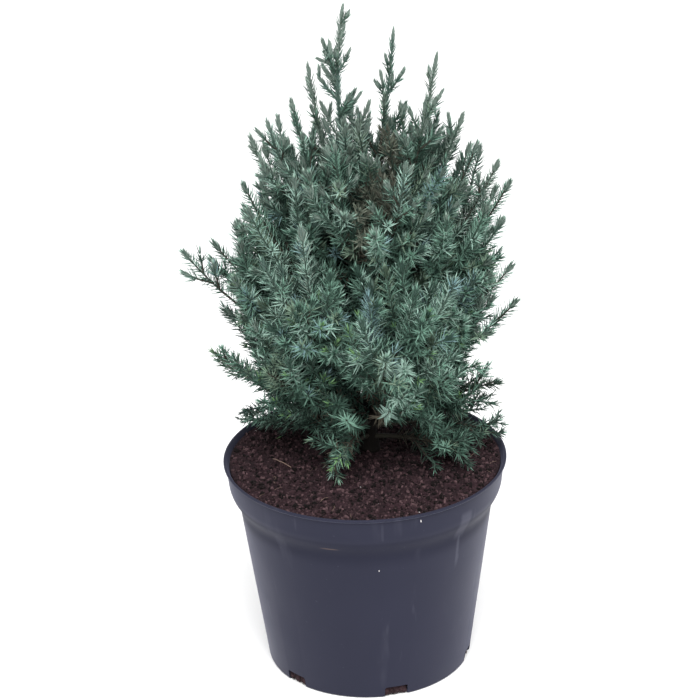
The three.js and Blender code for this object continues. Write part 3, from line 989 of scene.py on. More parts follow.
def lumpy(seed, lengthen=1.0):
    """A crumb: a cube with its corners and middles pushed about, about 1 across."""
    draw = seeded(seed)
    points = []
    for x in (-1, 1):
        for y in (-1, 1):
            for z in (-1, 1):
                push = mix(0.3, 0.5, draw())
                points.append((x * push * lengthen, y * push * mix(0.7, 1.0, draw()), z * push * 0.8))
    faces = [(0, 1, 3, 2), (4, 6, 7, 5), (0, 4, 5, 1), (2, 3, 7, 6), (0, 2, 6, 4), (1, 5, 7, 3)]
    for face in list(faces):
        middle = np.mean([points[n] for n in face], axis=0) * mix(1.15, 1.5, draw())
        points.append(tuple(middle))
    fans = []
    for k, face in enumerate(faces):
        for n in range(4):
            fans.append((face[n], face[(n + 1) % 4], 8 + k))
    return points, fans


# Node trees


class NodeTree:
    """Adds nodes to a tree with their values and links in one call each."""

    def __init__(self, tree):
        self.tree = tree

    def add(self, kind, values=None, **settings):
        made = self.tree.nodes.new(kind)
        for key, value in settings.items():
            setattr(made, key, value)
        for key, value in (values or {}).items():
            socket = made.inputs[key] if isinstance(key, int) else self.named(made.inputs, key)
            self.put(socket, value)
        return made

    def put(self, socket, value):
        if isinstance(value, bpy.types.NodeSocket):
            self.tree.links.new(value, socket)
        else:
            socket.default_value = value

    def named(self, sockets, name):
        return next(s for s in sockets if s.name == name and s.enabled)

    def out(self, kind, name, values=None, **settings):
        return self.named(self.add(kind, values, **settings).outputs, name)

    def math(self, operation, first, second=0.0):
        return self.add("ShaderNodeMath", {0: first, 1: second}, operation=operation).outputs[0]

    def remap(self, value, low, high, to_low, to_high, smooth=True):
        values = {"Value": value, "From Min": low, "From Max": high, "To Min": to_low, "To Max": to_high}
        kind = "SMOOTHSTEP" if smooth else "LINEAR"
        return self.out("ShaderNodeMapRange", "Result", values, interpolation_type=kind)


class GeometryTree(NodeTree):
    """A geometry node group with named inputs and one geometry output."""

    def __init__(self, name, **inputs):
        super().__init__(bpy.data.node_groups.new(name, "GeometryNodeTree"))
        sockets = self.tree.interface
        self.ids = {}
        for label, kind in inputs.items():
            made = sockets.new_socket(label, in_out="INPUT", socket_type=f"NodeSocket{kind}")
            self.ids[label] = made.identifier
        sockets.new_socket("Geometry", in_out="OUTPUT", socket_type="NodeSocketGeometry")
        self.inputs = self.tree.nodes.new("NodeGroupInput")
        self.result = self.tree.nodes.new("NodeGroupOutput")

    def given(self, label):
        return self.inputs.outputs[label]

    def random(self, low, high, salt):
        """A value drawn for each point, from the tree's seed and a number of its own."""
        shifted = self.math("ADD", self.given("Seed"), salt)
        return self.out("FunctionNodeRandomValue", "Value", {"Min": low, "Max": high, "Seed": shifted})

    def read(self, name, data_type="FLOAT"):
        values = {"Name": name}
        return self.out("GeometryNodeInputNamedAttribute", "Attribute", values, data_type=data_type)

    def fold(self, operation, first, *others):
        for other in others:
            first = self.math(operation, first, other)
        return first

    def vector(self, **parts):
        return self.out("ShaderNodeCombineXYZ", "Vector", parts)

    def turn(self, rotation, axis, by):
        """A rotation that turns further about one of its own axes."""
        further = self.out("FunctionNodeAxisAngleToRotation", "Rotation", {"Axis": axis, "Angle": by})
        values = {"Rotation": rotation, "Rotate By": further}
        return self.out("FunctionNodeRotateRotation", "Rotation", values, rotation_space="LOCAL")

    def shoots(self):
        return self.out("GeometryNodeMeshToCurve", "Curve", {"Mesh": self.given("Shoots")})

    def strewn(self, label, **values):
        """A given object on points, as real faces."""
        values["Instance"] = self.out("GeometryNodeObjectInfo", "Geometry", {"Object": self.given(label)})
        return self.real(self.out("GeometryNodeInstanceOnPoints", "Instances", values))

    def real(self, geometry):
        return self.out("GeometryNodeRealizeInstances", "Geometry", {"Geometry": geometry})

    def painted(self, geometry, label, selection=True):
        """The geometry with a given material, or with it on the selected faces."""
        values = {"Geometry": geometry, "Selection": selection, "Material": self.given(label)}
        return self.out("GeometryNodeSetMaterial", "Geometry", values)

    def finish(self, geometry):
        self.tree.links.new(geometry, self.result.inputs["Geometry"])
        return self


def apply_tree(guide, made, values):
    """Runs a geometry tree on an object and keeps the result as its plain mesh."""
    modifier = guide.modifiers.new("Growth", "NODES")
    modifier.node_group = made.tree
    for label, value in values.items():
        modifier[made.ids[label]] = value
    graph = bpy.context.evaluated_depsgraph_get()
    mesh = bpy.data.meshes.new_from_object(guide.evaluated_get(graph))
    guide.modifiers.remove(modifier)
    before = guide.data
    guide.data = mesh
    bpy.data.meshes.remove(before)
    mesh.name = guide.name
    for name in [a.name for a in mesh.attributes if not a.is_required and not a.is_internal]:
        if name not in ("material_index", "sharp_face", "sharp_edge"):
            mesh.attributes.remove(mesh.attributes[name])
    if not len(mesh.polygons):
        raise RuntimeError(f"the tree made no faces for {guide.name}")
    return guide


def whorl_tree():
    """Needles in whorls of three along shoots, each whorl turned against the one below."""
    made = GeometryTree(
        "Needle Whorls",
        Shoots="Geometry",
        Needle="Object",
        Length="Float",
        Width="Float",
        Lowest="Float",
        Seed="Int",
        Upper="Material",
        Lower="Material",
    )
    values = {"Curve": made.shoots(), "Length": made.read("spacing")}
    spaced = made.out("GeometryNodeResampleCurve", "Curve", values, mode="LENGTH")
    index = made.out("GeometryNodeSplineParameter", "Index")
    values = {"Geometry": spaced, "Name": "whorl", "Value": index}
    kind = {"data_type": "INT", "domain": "POINT"}
    numbered = made.out("GeometryNodeStoreNamedAttribute", "Geometry", values, **kind)
    places = made.add("GeometryNodeCurveToPoints", {"Curve": numbered}, mode="EVALUATED")
    values = {"Geometry": made.named(places.outputs, "Points"), "Amount": NEEDLES_IN_WHORL}
    copies = made.add("GeometryNodeDuplicateElements", values, domain="POINT")
    step = 2 * math.pi / NEEDLES_IN_WHORL
    whorl_turn = made.math("MULTIPLY", made.read("whorl", "INT"), step / 2)
    needle_turn = made.math("MULTIPLY", made.named(copies.outputs, "Duplicate Index"), step)
    play = made.random(-NEEDLE_TURN_PLAY, NEEDLE_TURN_PLAY, 1)
    turn = made.fold("ADD", whorl_turn, needle_turn, made.read("phase"), play)
    heading = made.turn(made.named(places.outputs, "Rotation"), (0, 0, 1), turn)
    to_tip = made.read("to_tip")
    closing = made.read("closing")
    lean = made.remap(to_tip, 0.0, closing, made.read("tip_spread"), made.read("spread"))
    lean = made.math("ADD", lean, made.random(-NEEDLE_LEAN_PLAY, NEEDLE_LEAN_PLAY, 2))
    placed = made.turn(heading, (1, 0, 0), lean)
    grown = made.remap(to_tip, 0.0, closing, made.read("tip_size"), 1.0)
    play = made.random(*NEEDLE_LENGTH_PLAY, 3)
    length = made.fold("MULTIPLY", made.given("Length"), made.read("needle_size"), grown, play)
    play = made.random(*NEEDLE_WIDTH_PLAY, 4)
    width = made.fold("MULTIPLY", made.given("Width"), made.read("needle_width"), play)
    values = {"Vector": made.vector(Z=length), "Rotation": placed}
    swung = made.out("FunctionNodeRotateVector", "Vector", values)
    place = made.out("GeometryNodeInputPosition", "Position")
    tip = made.add("ShaderNodeVectorMath", {0: place, 1: swung}, operation="ADD").outputs[0]
    height = made.out("ShaderNodeSeparateXYZ", "Z", {"Vector": tip})
    needles = made.strewn(
        "Needle",
        Points=made.named(copies.outputs, "Geometry"),
        Selection=made.math("GREATER_THAN", height, made.given("Lowest")),
        Rotation=placed,
        Scale=made.vector(X=width, Y=width, Z=length),
    )
    backs = made.painted(needles, "Lower")
    return made.finish(made.painted(backs, "Upper", made.read("upper", "BOOLEAN")))


def twig_tree():
    """Round wood along shoots, as thick as the shoot's own radius."""
    made = GeometryTree("Twig Wood", Shoots="Geometry", Sides="Int", Wood="Material")
    values = {"Curve": made.shoots(), "Radius": made.read("wood_radius")}
    thick = made.out("GeometryNodeSetCurveRadius", "Curve", values)
    values = {"Resolution": made.given("Sides"), "Radius": 1.0}
    ring = made.out("GeometryNodeCurvePrimitiveCircle", "Curve", values, mode="RADIUS")
    tubes = made.add("GeometryNodeCurveToMesh", {"Curve": thick, "Profile Curve": ring, "Fill Caps": True})
    if "Scale" in tubes.inputs:
        made.put(tubes.inputs["Scale"], made.read("wood_radius"))
    return made.finish(made.painted(made.real(tubes.outputs[0]), "Wood"))


def scatter_tree():
    """Grains or fibres strewn over a surface, turned and sized at random."""
    made = GeometryTree(
        "Strewn Grains",
        Surface="Geometry",
        Grain="Object",
        Density="Float",
        Smallest="Float",
        Largest="Float",
        Tumble="Float",
        Seed="Int",
        Finish="Material",
    )
    values = {"Mesh": made.given("Surface"), "Density": made.given("Density"), "Seed": made.given("Seed")}
    places = made.out("GeometryNodeDistributePointsOnFaces", "Points", values, distribute_method="RANDOM")
    tumble = made.given("Tumble")
    against = made.math("MULTIPLY", tumble, -1.0)
    angles = made.vector(
        X=made.random(against, tumble, 11),
        Y=made.random(against, tumble, 12),
        Z=made.random(0.0, 2 * math.pi, 13),
    )
    way = made.out("FunctionNodeEulerToRotation", "Rotation", {"Euler": angles})
    share = made.math("POWER", made.random(0.0, 1.0, 14), SMALL_GRAINS)
    size = made.remap(share, 0.0, 1.0, made.given("Smallest"), made.given("Largest"), smooth=False)
    grains = made.strewn("Grain", Points=places, Rotation=way, Scale=size)
    return made.finish(made.painted(grains, "Finish"))


# Finishes


class Finish(NodeTree):
    """A material with one principled shader, its patterns in object coordinates."""

    def __init__(self, name, colour, roughness, specular):
        self.material = bpy.data.materials.new(name)
        self.material.use_nodes = True
        super().__init__(self.material.node_tree)
        self.shader = self.tree.nodes["Principled BSDF"]
        self.shader.inputs["Base Color"].default_value = (*colour, 1.0)
        self.shader.inputs["Roughness"].default_value = roughness
        self.shader.inputs["Specular IOR Level"].default_value = specular
        self.coordinates = None

    def place(self, scale=(1, 1, 1), offset=(0, 0, 0)):
        if self.coordinates is None:
            self.coordinates = self.tree.nodes.new("ShaderNodeTexCoord")
        values = {"Vector": self.coordinates.outputs["Object"], "Scale": scale, "Location": offset}
        return self.out("ShaderNodeMapping", "Vector", values)

    def noise(self, scale, detail=3.0, stretch=(1, 1, 1), roughness=0.5, offset=(0, 0, 0)):
        place = self.place(stretch, offset)
        values = {"Vector": place, "Scale": scale, "Detail": detail, "Roughness": roughness}
        return self.out("ShaderNodeTexNoise", "Fac", values)

    def within(self, value, low, low_full, high_full, high):
        """1 between the two inner values, fading to 0 at the outer two."""
        rising = self.remap(value, low, low_full, 0.0, 1.0)
        return self.math("MULTIPLY", rising, self.remap(value, high_full, high, 1.0, 0.0))

    def away(self, value, middle):
        return self.math("ABSOLUTE", self.math("SUBTRACT", value, middle))

    def blend(self, share, first, second):
        node = self.tree.nodes.new("ShaderNodeMix")
        node.data_type = "RGBA"
        self.put(self.named(node.inputs, "Factor"), share)
        for name, value in (("A", first), ("B", second)):
            shown = value if isinstance(value, bpy.types.NodeSocket) else (*value, 1.0)
            self.put(self.named(node.inputs, name), shown)
        return self.named(node.outputs, "Result")

    def colour(self, socket):
        self.put(self.shader.inputs["Base Color"], socket)

    def rough(self, socket):
        self.put(self.shader.inputs["Roughness"], socket)

    def bump(self, height, strength, distance, under=None):
        values = {"Height": height, "Strength": strength, "Distance": distance}
        if under is not None:
            values["Normal"] = under
        made = self.out("ShaderNodeBump", "Normal", values)
        self.put(self.shader.inputs["Normal"], made)
        return made


def pot_finish(settings):
    """Satin plastic, duller on the shoulder, with clouds, stains, scratches, a drip, a scrape and dust."""
    made = Finish("slate_plastic", settings.colour, 0.48, PLASTIC_SHINE[0])
    sockets = made.shader.inputs
    sockets["Specular Tint"].default_value = (0.78, 0.8, 1.0, 1.0)
    sockets["Sheen Roughness"].default_value = 0.45
    sockets["Sheen Tint"].default_value = (0.6, 0.62, 0.9, 1.0)
    parts = made.add("ShaderNodeSeparateXYZ", {"Vector": made.place()})
    height = parts.outputs["Z"]
    bearing = made.math("ARCTAN2", parts.outputs["Y"], parts.outputs["X"])
    band = settings.height - settings.band_height
    wall_top = band - settings.shoulder_height
    shoulder = made.within(height, wall_top - 0.016, wall_top, band - 0.002, band + 0.003)
    made.put(sockets["Sheen Weight"], made.remap(shoulder, 0.0, 1.0, *PLASTIC_SHEEN))
    made.put(sockets["Specular IOR Level"], made.remap(shoulder, 0.0, 1.0, *PLASTIC_SHINE))
    cloud = made.remap(made.noise(11.0, 3.0), 0.35, 0.7, 0.0, 0.35)
    shade = made.blend(cloud, settings.colour, [c * 1.35 for c in settings.colour])
    stain = made.noise(26.0, 4.0, (1.0, 1.0, 0.22), 0.6)
    shade = made.blend(made.remap(stain, 0.6, 0.72, 0.0, 0.4), shade, settings.scuff_colour)
    scratch = made.noise(160.0, 2.0, (1.0, 1.0, 0.05), 0.4, (0.3, 0.1, 0.2))
    shade = made.blend(made.remap(scratch, 0.71, 0.76, 0.0, 0.3), shade, settings.scuff_colour)
    edge = made.math("MULTIPLY", made.noise(60.0, 3.0), 0.06)
    aside = made.math("ADD", made.away(bearing, settings.drip_bearing), edge)
    near = made.remap(aside, 0.06, 0.1, 1.0, 0.0)
    blot = made.math("MULTIPLY", near, made.within(height, *BLOT_HEIGHTS))
    near = made.remap(aside, 0.03, 0.055, 1.0, 0.0)
    run = made.math("MULTIPLY", near, made.within(height, *RUN_HEIGHTS))
    drip = made.math("MULTIPLY", made.math("MAXIMUM", blot, run), 0.8)
    shade = made.blend(drip, shade, settings.scuff_colour)
    along = made.remap(made.away(bearing, settings.scrape_bearing), 0.02, 0.09, 0.35, 0.0)
    over = made.remap(made.away(height, settings.scrape_height), 0.0003, 0.0008, 1.0, 0.0)
    shade = made.blend(made.math("MULTIPLY", along, over), shade, settings.scrape_colour)
    dust = made.remap(made.noise(420.0, 1.0), 0.76, 0.82, 0.0, 0.35)
    made.colour(made.blend(dust, shade, settings.scuff_colour))
    made.rough(made.remap(made.noise(18.0, 4.0), 0.3, 0.75, 0.42, 0.54))
    ripple = made.bump(made.noise(30.0, 2.0), 0.05, 0.001)
    made.bump(made.noise(1400.0, 2.0), 0.06, 0.0002, ripple)
    return made.material


def soil_finish(name, settings, dry):
    """Crumbly peat: 0 is moist, 1 dry."""
    made = Finish(name, settings.colour, 0.95, 0.2)
    clods = made.remap(made.noise(95.0, 5.0, roughness=0.7), 0.38, 0.7, 0.0, 1.0)
    grains = made.remap(made.noise(620.0, 3.0), 0.5, 0.72, 0.0, 0.6)
    driest = np.array(settings.dry_colour)
    light = np.maximum(mix(np.array(settings.colour), driest, dry), 0.002)
    shade = made.blend(clods, light * 0.45, light)
    made.colour(made.blend(grains, shade, mix(light, driest, 0.6)))
    first = made.bump(made.noise(240.0, 5.0, roughness=0.7), 0.8, 0.0015)
    made.bump(made.noise(900.0, 3.0), 0.6, 0.0005, first)
    return made.material


def bark_finish(settings):
    """Bark in strips with dark furrows: painted shade darkens it low down over the peat, green towards the
    leaders.
    """
    made = Finish("juniper_bark", settings.bark_colour, 0.9, 0.25)
    bark = settings.bark_colour
    strips = made.noise(620.0, 4.0, (1.0, 1.0, 0.12), 0.65)
    shade = made.blend(made.remap(strips, 0.4, 0.68, 0.0, 1.0), bark, settings.strip_colour)
    furrow = made.noise(420.0, 3.0, (1.0, 1.0, 0.16), 0.6, (0.4, 0.2, 0.0))
    shade = made.blend(made.remap(furrow, 0.3, 0.46, 1.0, 0.0), shade, [c * 0.35 for c in bark])
    height = made.out("ShaderNodeSeparateXYZ", "Z", {"Vector": made.place()})
    # Painted shade: the bark grows darker low over the peat, under the crown
    ground_shade = made.remap(height, (SOIL_TOP + 25) * MM, (SOIL_TOP + 60) * MM, 1.0, 0.0)
    shade = made.blend(ground_shade, shade, [c * 0.25 for c in bark])
    young = made.remap(height, (SOIL_TOP + 90) * MM, (SOIL_TOP + 200) * MM, 0.0, 1.0)
    made.colour(made.blend(young, shade, settings.green_colour))
    made.bump(strips, 0.7, 0.0006)
    return made.material


def plain_finish(name, colour, roughness, specular=0.4):
    return Finish(name, colour, roughness, specular).material


# Operators


def seat(piece, slot, *nodes):
    """Sets a finished piece on the frame's one body and hides the solids it stands for."""
    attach(piece, "root")
    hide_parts(*nodes)


def settle(name, mesh, finish, slot, *nodes):
    """Adds a mesh as a finished piece and seats it."""
    piece = add_object(name, mesh)
    mesh.materials.append(finish)
    seat(piece, slot, *nodes)


class JUNIPER_OT_pot(Operator):
    """Mould the nursery container with its lip, band, shoulder and drain slots"""

    bl_idname = "juniper.pot"
    bl_label = "Container"

    def execute(self, context):
        pot = context.scene.juniper_pot
        mesh = turned("pot_shell", rounded(self.outline(pot)), 160)
        shell = add_object("container", mesh)
        cutter = add_object("slot_cutter", self.slots(pot))
        cut = shell.modifiers.new("Slots", "BOOLEAN")
        cut.object = cutter
        cut.operation = "DIFFERENCE"
        cut.solver = "EXACT"
        graph = context.evaluated_depsgraph_get()
        shell.data = bpy.data.meshes.new_from_object(shell.evaluated_get(graph))
        shell.modifiers.remove(cut)
        bpy.data.objects.remove(cutter)
        shell.data.set_sharp_from_angle(angle=math.radians(50))
        shell.data.materials.clear()
        shell.data.materials.append(pot_finish(pot))
        seat(shell, "pot_plastic", "pot")
        return {"FINISHED"}

    def outline(self, pot):
        """The wall's section, from the middle of the underside round to the middle of the floor."""
        band = pot.height - pot.band_height
        wall_top = band - pot.shoulder_height
        wall = pot.wall_thickness
        return [
            (0.0, 0.0, 0.0),
            (pot.foot_radius, 0.0, 0.0022),
            (pot.wall_top_radius, wall_top, 0.02),
            (pot.band_foot_radius, band, 0.02),
            (pot.band_top_radius, pot.height - 0.0026, 0.0012),
            (pot.rim_radius, pot.height - 0.0014, 0.0006),
            (pot.rim_radius, pot.height, 0.0007),
            (pot.rim_radius - pot.lip_width, pot.height, 0.0008),
            (pot.band_top_radius - wall, pot.height - 0.0035, 0.002),
            (pot.band_foot_radius - wall, band, 0.006),
            (pot.wall_top_radius - wall, wall_top, 0.006),
            (pot.foot_radius - wall, pot.floor_thickness, 0.0015),
            (0.0, pot.floor_thickness, 0.0),
        ]

    def slots(self, pot):
        """The cutters of the drain slots: low arches with rounded upper corners."""
        half = pot.slot_width / 2
        top = pot.slot_height - SLOT_CORNER
        arch = [(-half, -SLOT_UNDERCUT), (half, -SLOT_UNDERCUT)]
        for side, first in ((1, 0.0), (-1, math.pi / 2)):
            for turn in np.linspace(first, first + math.pi / 2, 6):
                x = side * (half - SLOT_CORNER) + SLOT_CORNER * math.cos(turn)
                arch.append((x, top + SLOT_CORNER * math.sin(turn)))
        count = len(arch)
        faces = [tuple(range(count)), tuple(reversed(range(count, 2 * count)))]
        faces += between(0, count, count)
        parts = []
        for outward, sideways in slot_directions(pot):
            points = []
            for radius in (pot.foot_radius + pot.slot_depth, pot.foot_radius - pot.slot_depth):
                points.extend(outward * radius + sideways * x + UP * z for x, z in arch)
            parts.append((points, faces))
        return mesh_from("slot_cutter", *joined(parts), smooth=False)


class JUNIPER_OT_soil(Operator):
    """Fill the container with crumbly peat, its crumbs, fibres and pale grains"""

    bl_idname = "juniper.soil"
    bl_label = "Peat"

    def execute(self, context):
        soil = context.scene.juniper_soil
        pot = context.scene.juniper_pot
        # The bed is the damp peat, darker than most crumbs on it: partly painted shade in the gaps between
        # them
        settle("peat_bed", self.bed(soil), soil_finish("damp_peat", soil, 0.0), "peat", "soil")
        crumb = add_object("crumb", mesh_from("crumb", *lumpy(5), smooth=False))
        shard = add_object("shard", mesh_from("shard", *lumpy(9, 1.7), smooth=False))
        fibre = add_object("fibre", mesh_from("fibre", *self.fibre()))
        middling = soil_finish("middling_peat", soil, 0.22)
        wet = soil_finish("wet_peat", soil, -0.3)
        dry = soil_finish("dry_peat", soil, 1.25)
        fibrous = plain_finish("peat_fibre", soil.fibre_colour, 0.8)
        pale = plain_finish("pale_grain", soil.speck_colour, 0.7)
        finish = plain_finish("straw", [c * 1.15 for c in soil.fibre_colour], 0.7)
        settle("straw", mesh_from("straw", *self.straw(soil)), finish, "peat", "soil")
        finish = plain_finish("stray_grain", [c * 1.4 for c in soil.speck_colour], 0.7)
        settle("stray_grains", self.stray(pot), finish, "peat", "soil")
        # The peat in the drain slots is dealt a little darker than the middling crumbs: painted shade in
        # the slots
        settle("slot_peat", self.plugs(pot), soil_finish("slot_peat", soil, 0.2), "peat", "soil")
        size = soil.crumb_size
        density = soil.crumb_density
        labels = ("Grain", "Density", "Smallest", "Largest", "Tumble", "Seed", "Finish")
        kinds = (
            ("peat_crumbs", crumb, density, 0.4 * size, 1.5 * size, ANY_WAY, 3, middling),
            ("damp_crumbs", crumb, 0.55 * density, 0.45 * size, 1.7 * size, ANY_WAY, 4, wet),
            ("dry_crumbs", shard, 0.6 * density, 0.3 * size, size, ANY_WAY, 5, dry),
            ("peat_fibres", fibre, soil.fibre_density, 0.003, 0.011, NEARLY_FLAT, 8, fibrous),
            ("pale_grains", crumb, soil.speck_density, 0.0005, 0.0014, ANY_WAY, 21, pale),
        )
        tree = scatter_tree()
        for name, *row in kinds:
            strewn = add_object(name, self.surface(soil))
            seat(apply_tree(strewn, tree, dict(zip(labels, row))), "peat", "soil")
        for helper in (crumb, shard, fibre):
            bpy.data.objects.remove(helper)
        return {"FINISHED"}

    def straw(self, soil):
        """A thin straw that lies on the peat."""
        ends = np.array(STRAW_ENDS) * MM
        path = []
        for share in np.linspace(0, 1, 9):
            x, y = mix(ends[0], ends[1], share)
            arch = STRAW_LIFT * (1 + math.sin(math.pi * share))
            path.append((x, y, self.level(soil, x, y) + arch))
        return sweep(path, [STRAW_RADIUS] * len(path), 6)

    def stray(self, pot):
        """Pale grains on the outside of the wall, sunk a little into it."""
        parts = []
        band = pot.height - pot.band_height
        for bearing, height, size in STRAY_GRAINS:
            z = height * MM
            radius = mix(pot.foot_radius, pot.wall_top_radius, z / (band - pot.shoulder_height))
            if z > band:
                radius = mix(pot.band_foot_radius, pot.band_top_radius, (z - band) / pot.band_height)
            outward, sideways = directions(math.radians(bearing))
            points, faces = lumpy(int(bearing))
            placed = []
            for x, y, up in np.array(points) * size * MM:
                placed.append(outward * (radius + 0.4 * x) + sideways * 0.6 * y + UP * (z + 1.5 * up))
            parts.append((placed, faces))
        return mesh_from("stray_grains", *joined(parts))

    def plugs(self, pot):
        """Peat that fills each drain slot behind the wall, with a rough face."""
        parts = []
        size = np.array((pot.slot_depth * 0.8, pot.slot_width * 0.3, pot.slot_height * 0.95))
        for k, (outward, sideways) in enumerate(slot_directions(pot)):
            for n, share in enumerate(np.linspace(-0.36, 0.36, 5)):
                points, faces = lumpy(40 + 7 * k + n)
                middle = outward * (pot.foot_radius - PLUG_DEPTH) + sideways * share * pot.slot_width
                middle = middle + UP * pot.slot_height * 0.55
                placed = []
                for x, y, z in np.array(points) * size:
                    spot = middle + outward * x + sideways * y + UP * z
                    spot[2] = max(spot[2], PLUG_FOOT)
                    placed.append(spot)
                parts.append((placed, faces))
        return mesh_from("slot_peat", *joined(parts), smooth=False)

    def level(self, soil, x, y):
        """The height of the peat's surface at a place."""
        out = math.hypot(x, y) / soil.edge_radius
        base = soil.edge_height + soil.mound * (1 - min(out, 1.0) ** 1.5)
        broad = noise.fractal(Vector((x, y, 0.3)) * 38, 0.9, 2.0, 3) * CLOD_RELIEF
        fine = noise.fractal(Vector((x, y, 1.7)) * 170, 0.8, 2.0, 3) * CRUMB_RELIEF
        return base + (broad + fine) * min(1.0, (1.02 - out) * 9)

    def grid(self, soil, rings, segments, reach):
        """The peat's surface as rings of points round its middle."""
        points = [(0.0, 0.0, self.level(soil, 0.0, 0.0))]
        for k in range(1, rings + 1):
            points.extend((x, y, self.level(soil, x, y)) for x, y in circle(reach * k / rings, segments))
        faces = [(0, 1 + n, 1 + (n + 1) % segments) for n in range(segments)]
        for k in range(rings - 1):
            low = 1 + k * segments
            faces += between(low, low + segments, segments)
        return points, faces

    def bed(self, soil):
        """The closed filling: a crumbly top, and sides down along the wall to the floor."""
        segments = 160
        rings = 64
        points, faces = self.grid(soil, rings, segments, soil.edge_radius)
        above = 1 + (rings - 1) * segments
        for radius, height in BED_SIDES:
            first = len(points)
            points.extend((x, y, height) for x, y in circle(radius, segments))
            faces += between(above, first, segments)
            above = first
        points.append((0.0, 0.0, BED_SIDES[-1][1]))
        for n in range(segments):
            faces.append((above + n, len(points) - 1, above + (n + 1) % segments))
        return mesh_from("peat_bed", points, faces)

    def surface(self, soil):
        return mesh_from("peat_surface", *self.grid(soil, 24, 72, soil.edge_radius - 0.001))

    def fibre(self):
        """A thin bent fibre, one long."""
        shares = np.linspace(-0.5, 0.5, 7)
        path = [(s, 0.12 * math.sin(5 * s), 0.06 * math.cos(4 * s)) for s in shares]
        radii = [0.02 * (1.05 - abs(s)) for s in shares]
        return sweep(path, radii, 4)


class JUNIPER_OT_wood(Operator):
    """Grow the trunk and the bare boughs with furrowed bark"""

    bl_idname = "juniper.wood"
    bl_label = "Trunk and Boughs"

    def execute(self, context):
        wood = context.scene.juniper_wood
        finish = bark_finish(wood)
        shares = np.linspace(0, 1, 170)
        path = trunk_curve().at(shares)
        path[0][2] -= TRUNK_SINK
        rows = [(path, trunk_radius(shares), wood.trunk_sides)]
        trunk = self.limbs("trunk_bark", rows, wood.bark_relief)
        settle("trunk_bark", trunk, finish, "bark", "trunk")
        shares = np.linspace(0, 1, 30)
        radii = mix(BOUGH_FOOT_RADIUS, BOUGH_TIP_RADIUS, shares)
        rows = []
        for bearing, foot, reach, rise, leafy in LIMBS.values():
            if not leafy:
                bough = limb_curve(bearing, foot, reach, rise).part(0.0, BARE_SHARE + 0.01)
                rows.append((bough.at(shares), radii, wood.bough_sides))
        boughs = self.limbs("bough_bark", rows, wood.bark_relief * 0.6)
        settle("bough_bark", boughs, finish, "bark", *solids("bough_"))
        return {"FINISHED"}

    def limbs(self, name, rows, depth):
        """Limbs as one mesh with bark furrows that run along them."""

        def relief(point):
            place = Vector((point[0] * 0.9, point[1] * 0.9, point[2] * 0.12))
            return noise.fractal(place, 0.9, 2.1, 4) * depth / MM

        parts = []
        for path, radii, sides in rows:
            points, faces = sweep(path, radii, sides, relief)
            parts.append((np.array(points) * MM, faces))
        return mesh_from(name, *joined(parts))


class JUNIPER_OT_twigs(Operator):
    """Carry the limbs on to twigs, spurs and short shoots"""

    bl_idname = "juniper.twigs"
    bl_label = "Twigs"

    def execute(self, context):
        wood = context.scene.juniper_wood
        shoots = [shoot for shoot in grow() if shoot.foot_radius]
        brown = [shoot for shoot in shoots if self.woody(shoot)]
        green = [shoot for shoot in shoots if not self.woody(shoot)]
        tree = twig_tree()
        groups = (
            ("twigs_brown", brown, 6, plain_finish("twig_wood", wood.twig_colour, 0.8)),
            ("twigs_green", green, 4, plain_finish("green_wood", wood.green_colour, 0.7)),
        )
        for name, some, sides, finish in groups:
            guide = add_object(name, shoot_lines(name, some, bare_too=True))
            apply_tree(guide, tree, {"Sides": sides, "Wood": finish})
            seat(guide, "bark", *solids("foliage_"))
        return {"FINISHED"}

    def woody(self, shoot):
        """Whether a shoot has turned to brown wood: the stems and the feet of twigs, not on the leaders."""
        below = shoot.curve.end[2] < SOIL_TOP + TRUNK_HEIGHT
        return below and (shoot.order == STEM or shoot.order == TWIG and shoot.beyond > 0)


class JUNIPER_OT_needles(Operator):
    """Set the needles in whorls of three along every shoot"""

    bl_idname = "juniper.needles"
    bl_label = "Needles"

    most_faces = 190000
    whorl_faces = 6 * NEEDLES_IN_WHORL

    def execute(self, context):
        settings = context.scene.juniper_needles
        needle = add_object("needle", self.needle())
        tree = whorl_tree()
        shoots = grow()
        nodes = solids("foliage_")
        for number, kind in enumerate(NEEDLE_KINDS):
            upper = plain_finish(f"needle_{kind}", getattr(settings, f"{kind}_upper"), 0.55, 0.2)
            lower = plain_finish(f"needle_{kind}_back", getattr(settings, f"{kind}_lower"), 0.5, 0.25)
            chosen = [s for s in shoots if s.kind == kind]
            for part, some in enumerate(self.shares(chosen)):
                name = f"needles_{kind}_{part + 1}"
                guide = add_object(name, shoot_lines(name, some, bare_too=False))
                values = {
                    "Needle": needle,
                    "Length": settings.length,
                    "Width": settings.width,
                    "Lowest": settings.lowest,
                    "Seed": 100 * number + part,
                    "Upper": upper,
                    "Lower": lower,
                }
                seat(apply_tree(guide, tree, values), "needles", *nodes)
        bpy.data.objects.remove(needle)
        return {"FINISHED"}

    def needle(self):
        """One needle, one long and one wide: a flat upper face, a keel below and a bent sharp tip."""
        points = [(0, 0, 0), (-0.5, 0, 0.24), (0.5, 0, 0.24), (0, -0.5, 0.24), (0, 0.3, 1)]
        faces = [(0, 2, 1), (1, 2, 4), (0, 1, 3), (0, 3, 2), (1, 4, 3), (2, 3, 4)]
        mesh = mesh_from("needle", points, faces, smooth=False)
        upper = mesh.attributes.new("upper", "BOOLEAN", "FACE")
        upper.data.foreach_set("value", [True, True, False, False, False, False])
        return mesh

    def shares(self, shoots):
        """The shoots in groups whose needles stay under the most faces of a piece."""
        groups = []
        count = self.most_faces
        for shoot in shoots:
            faces = (shoot.curve.length() / shoot.whorl_spacing() + 2) * self.whorl_faces
            if count + faces > self.most_faces:
                groups.append([])
                count = 0
            groups[-1].append(shoot)
            count += faces
        return groups


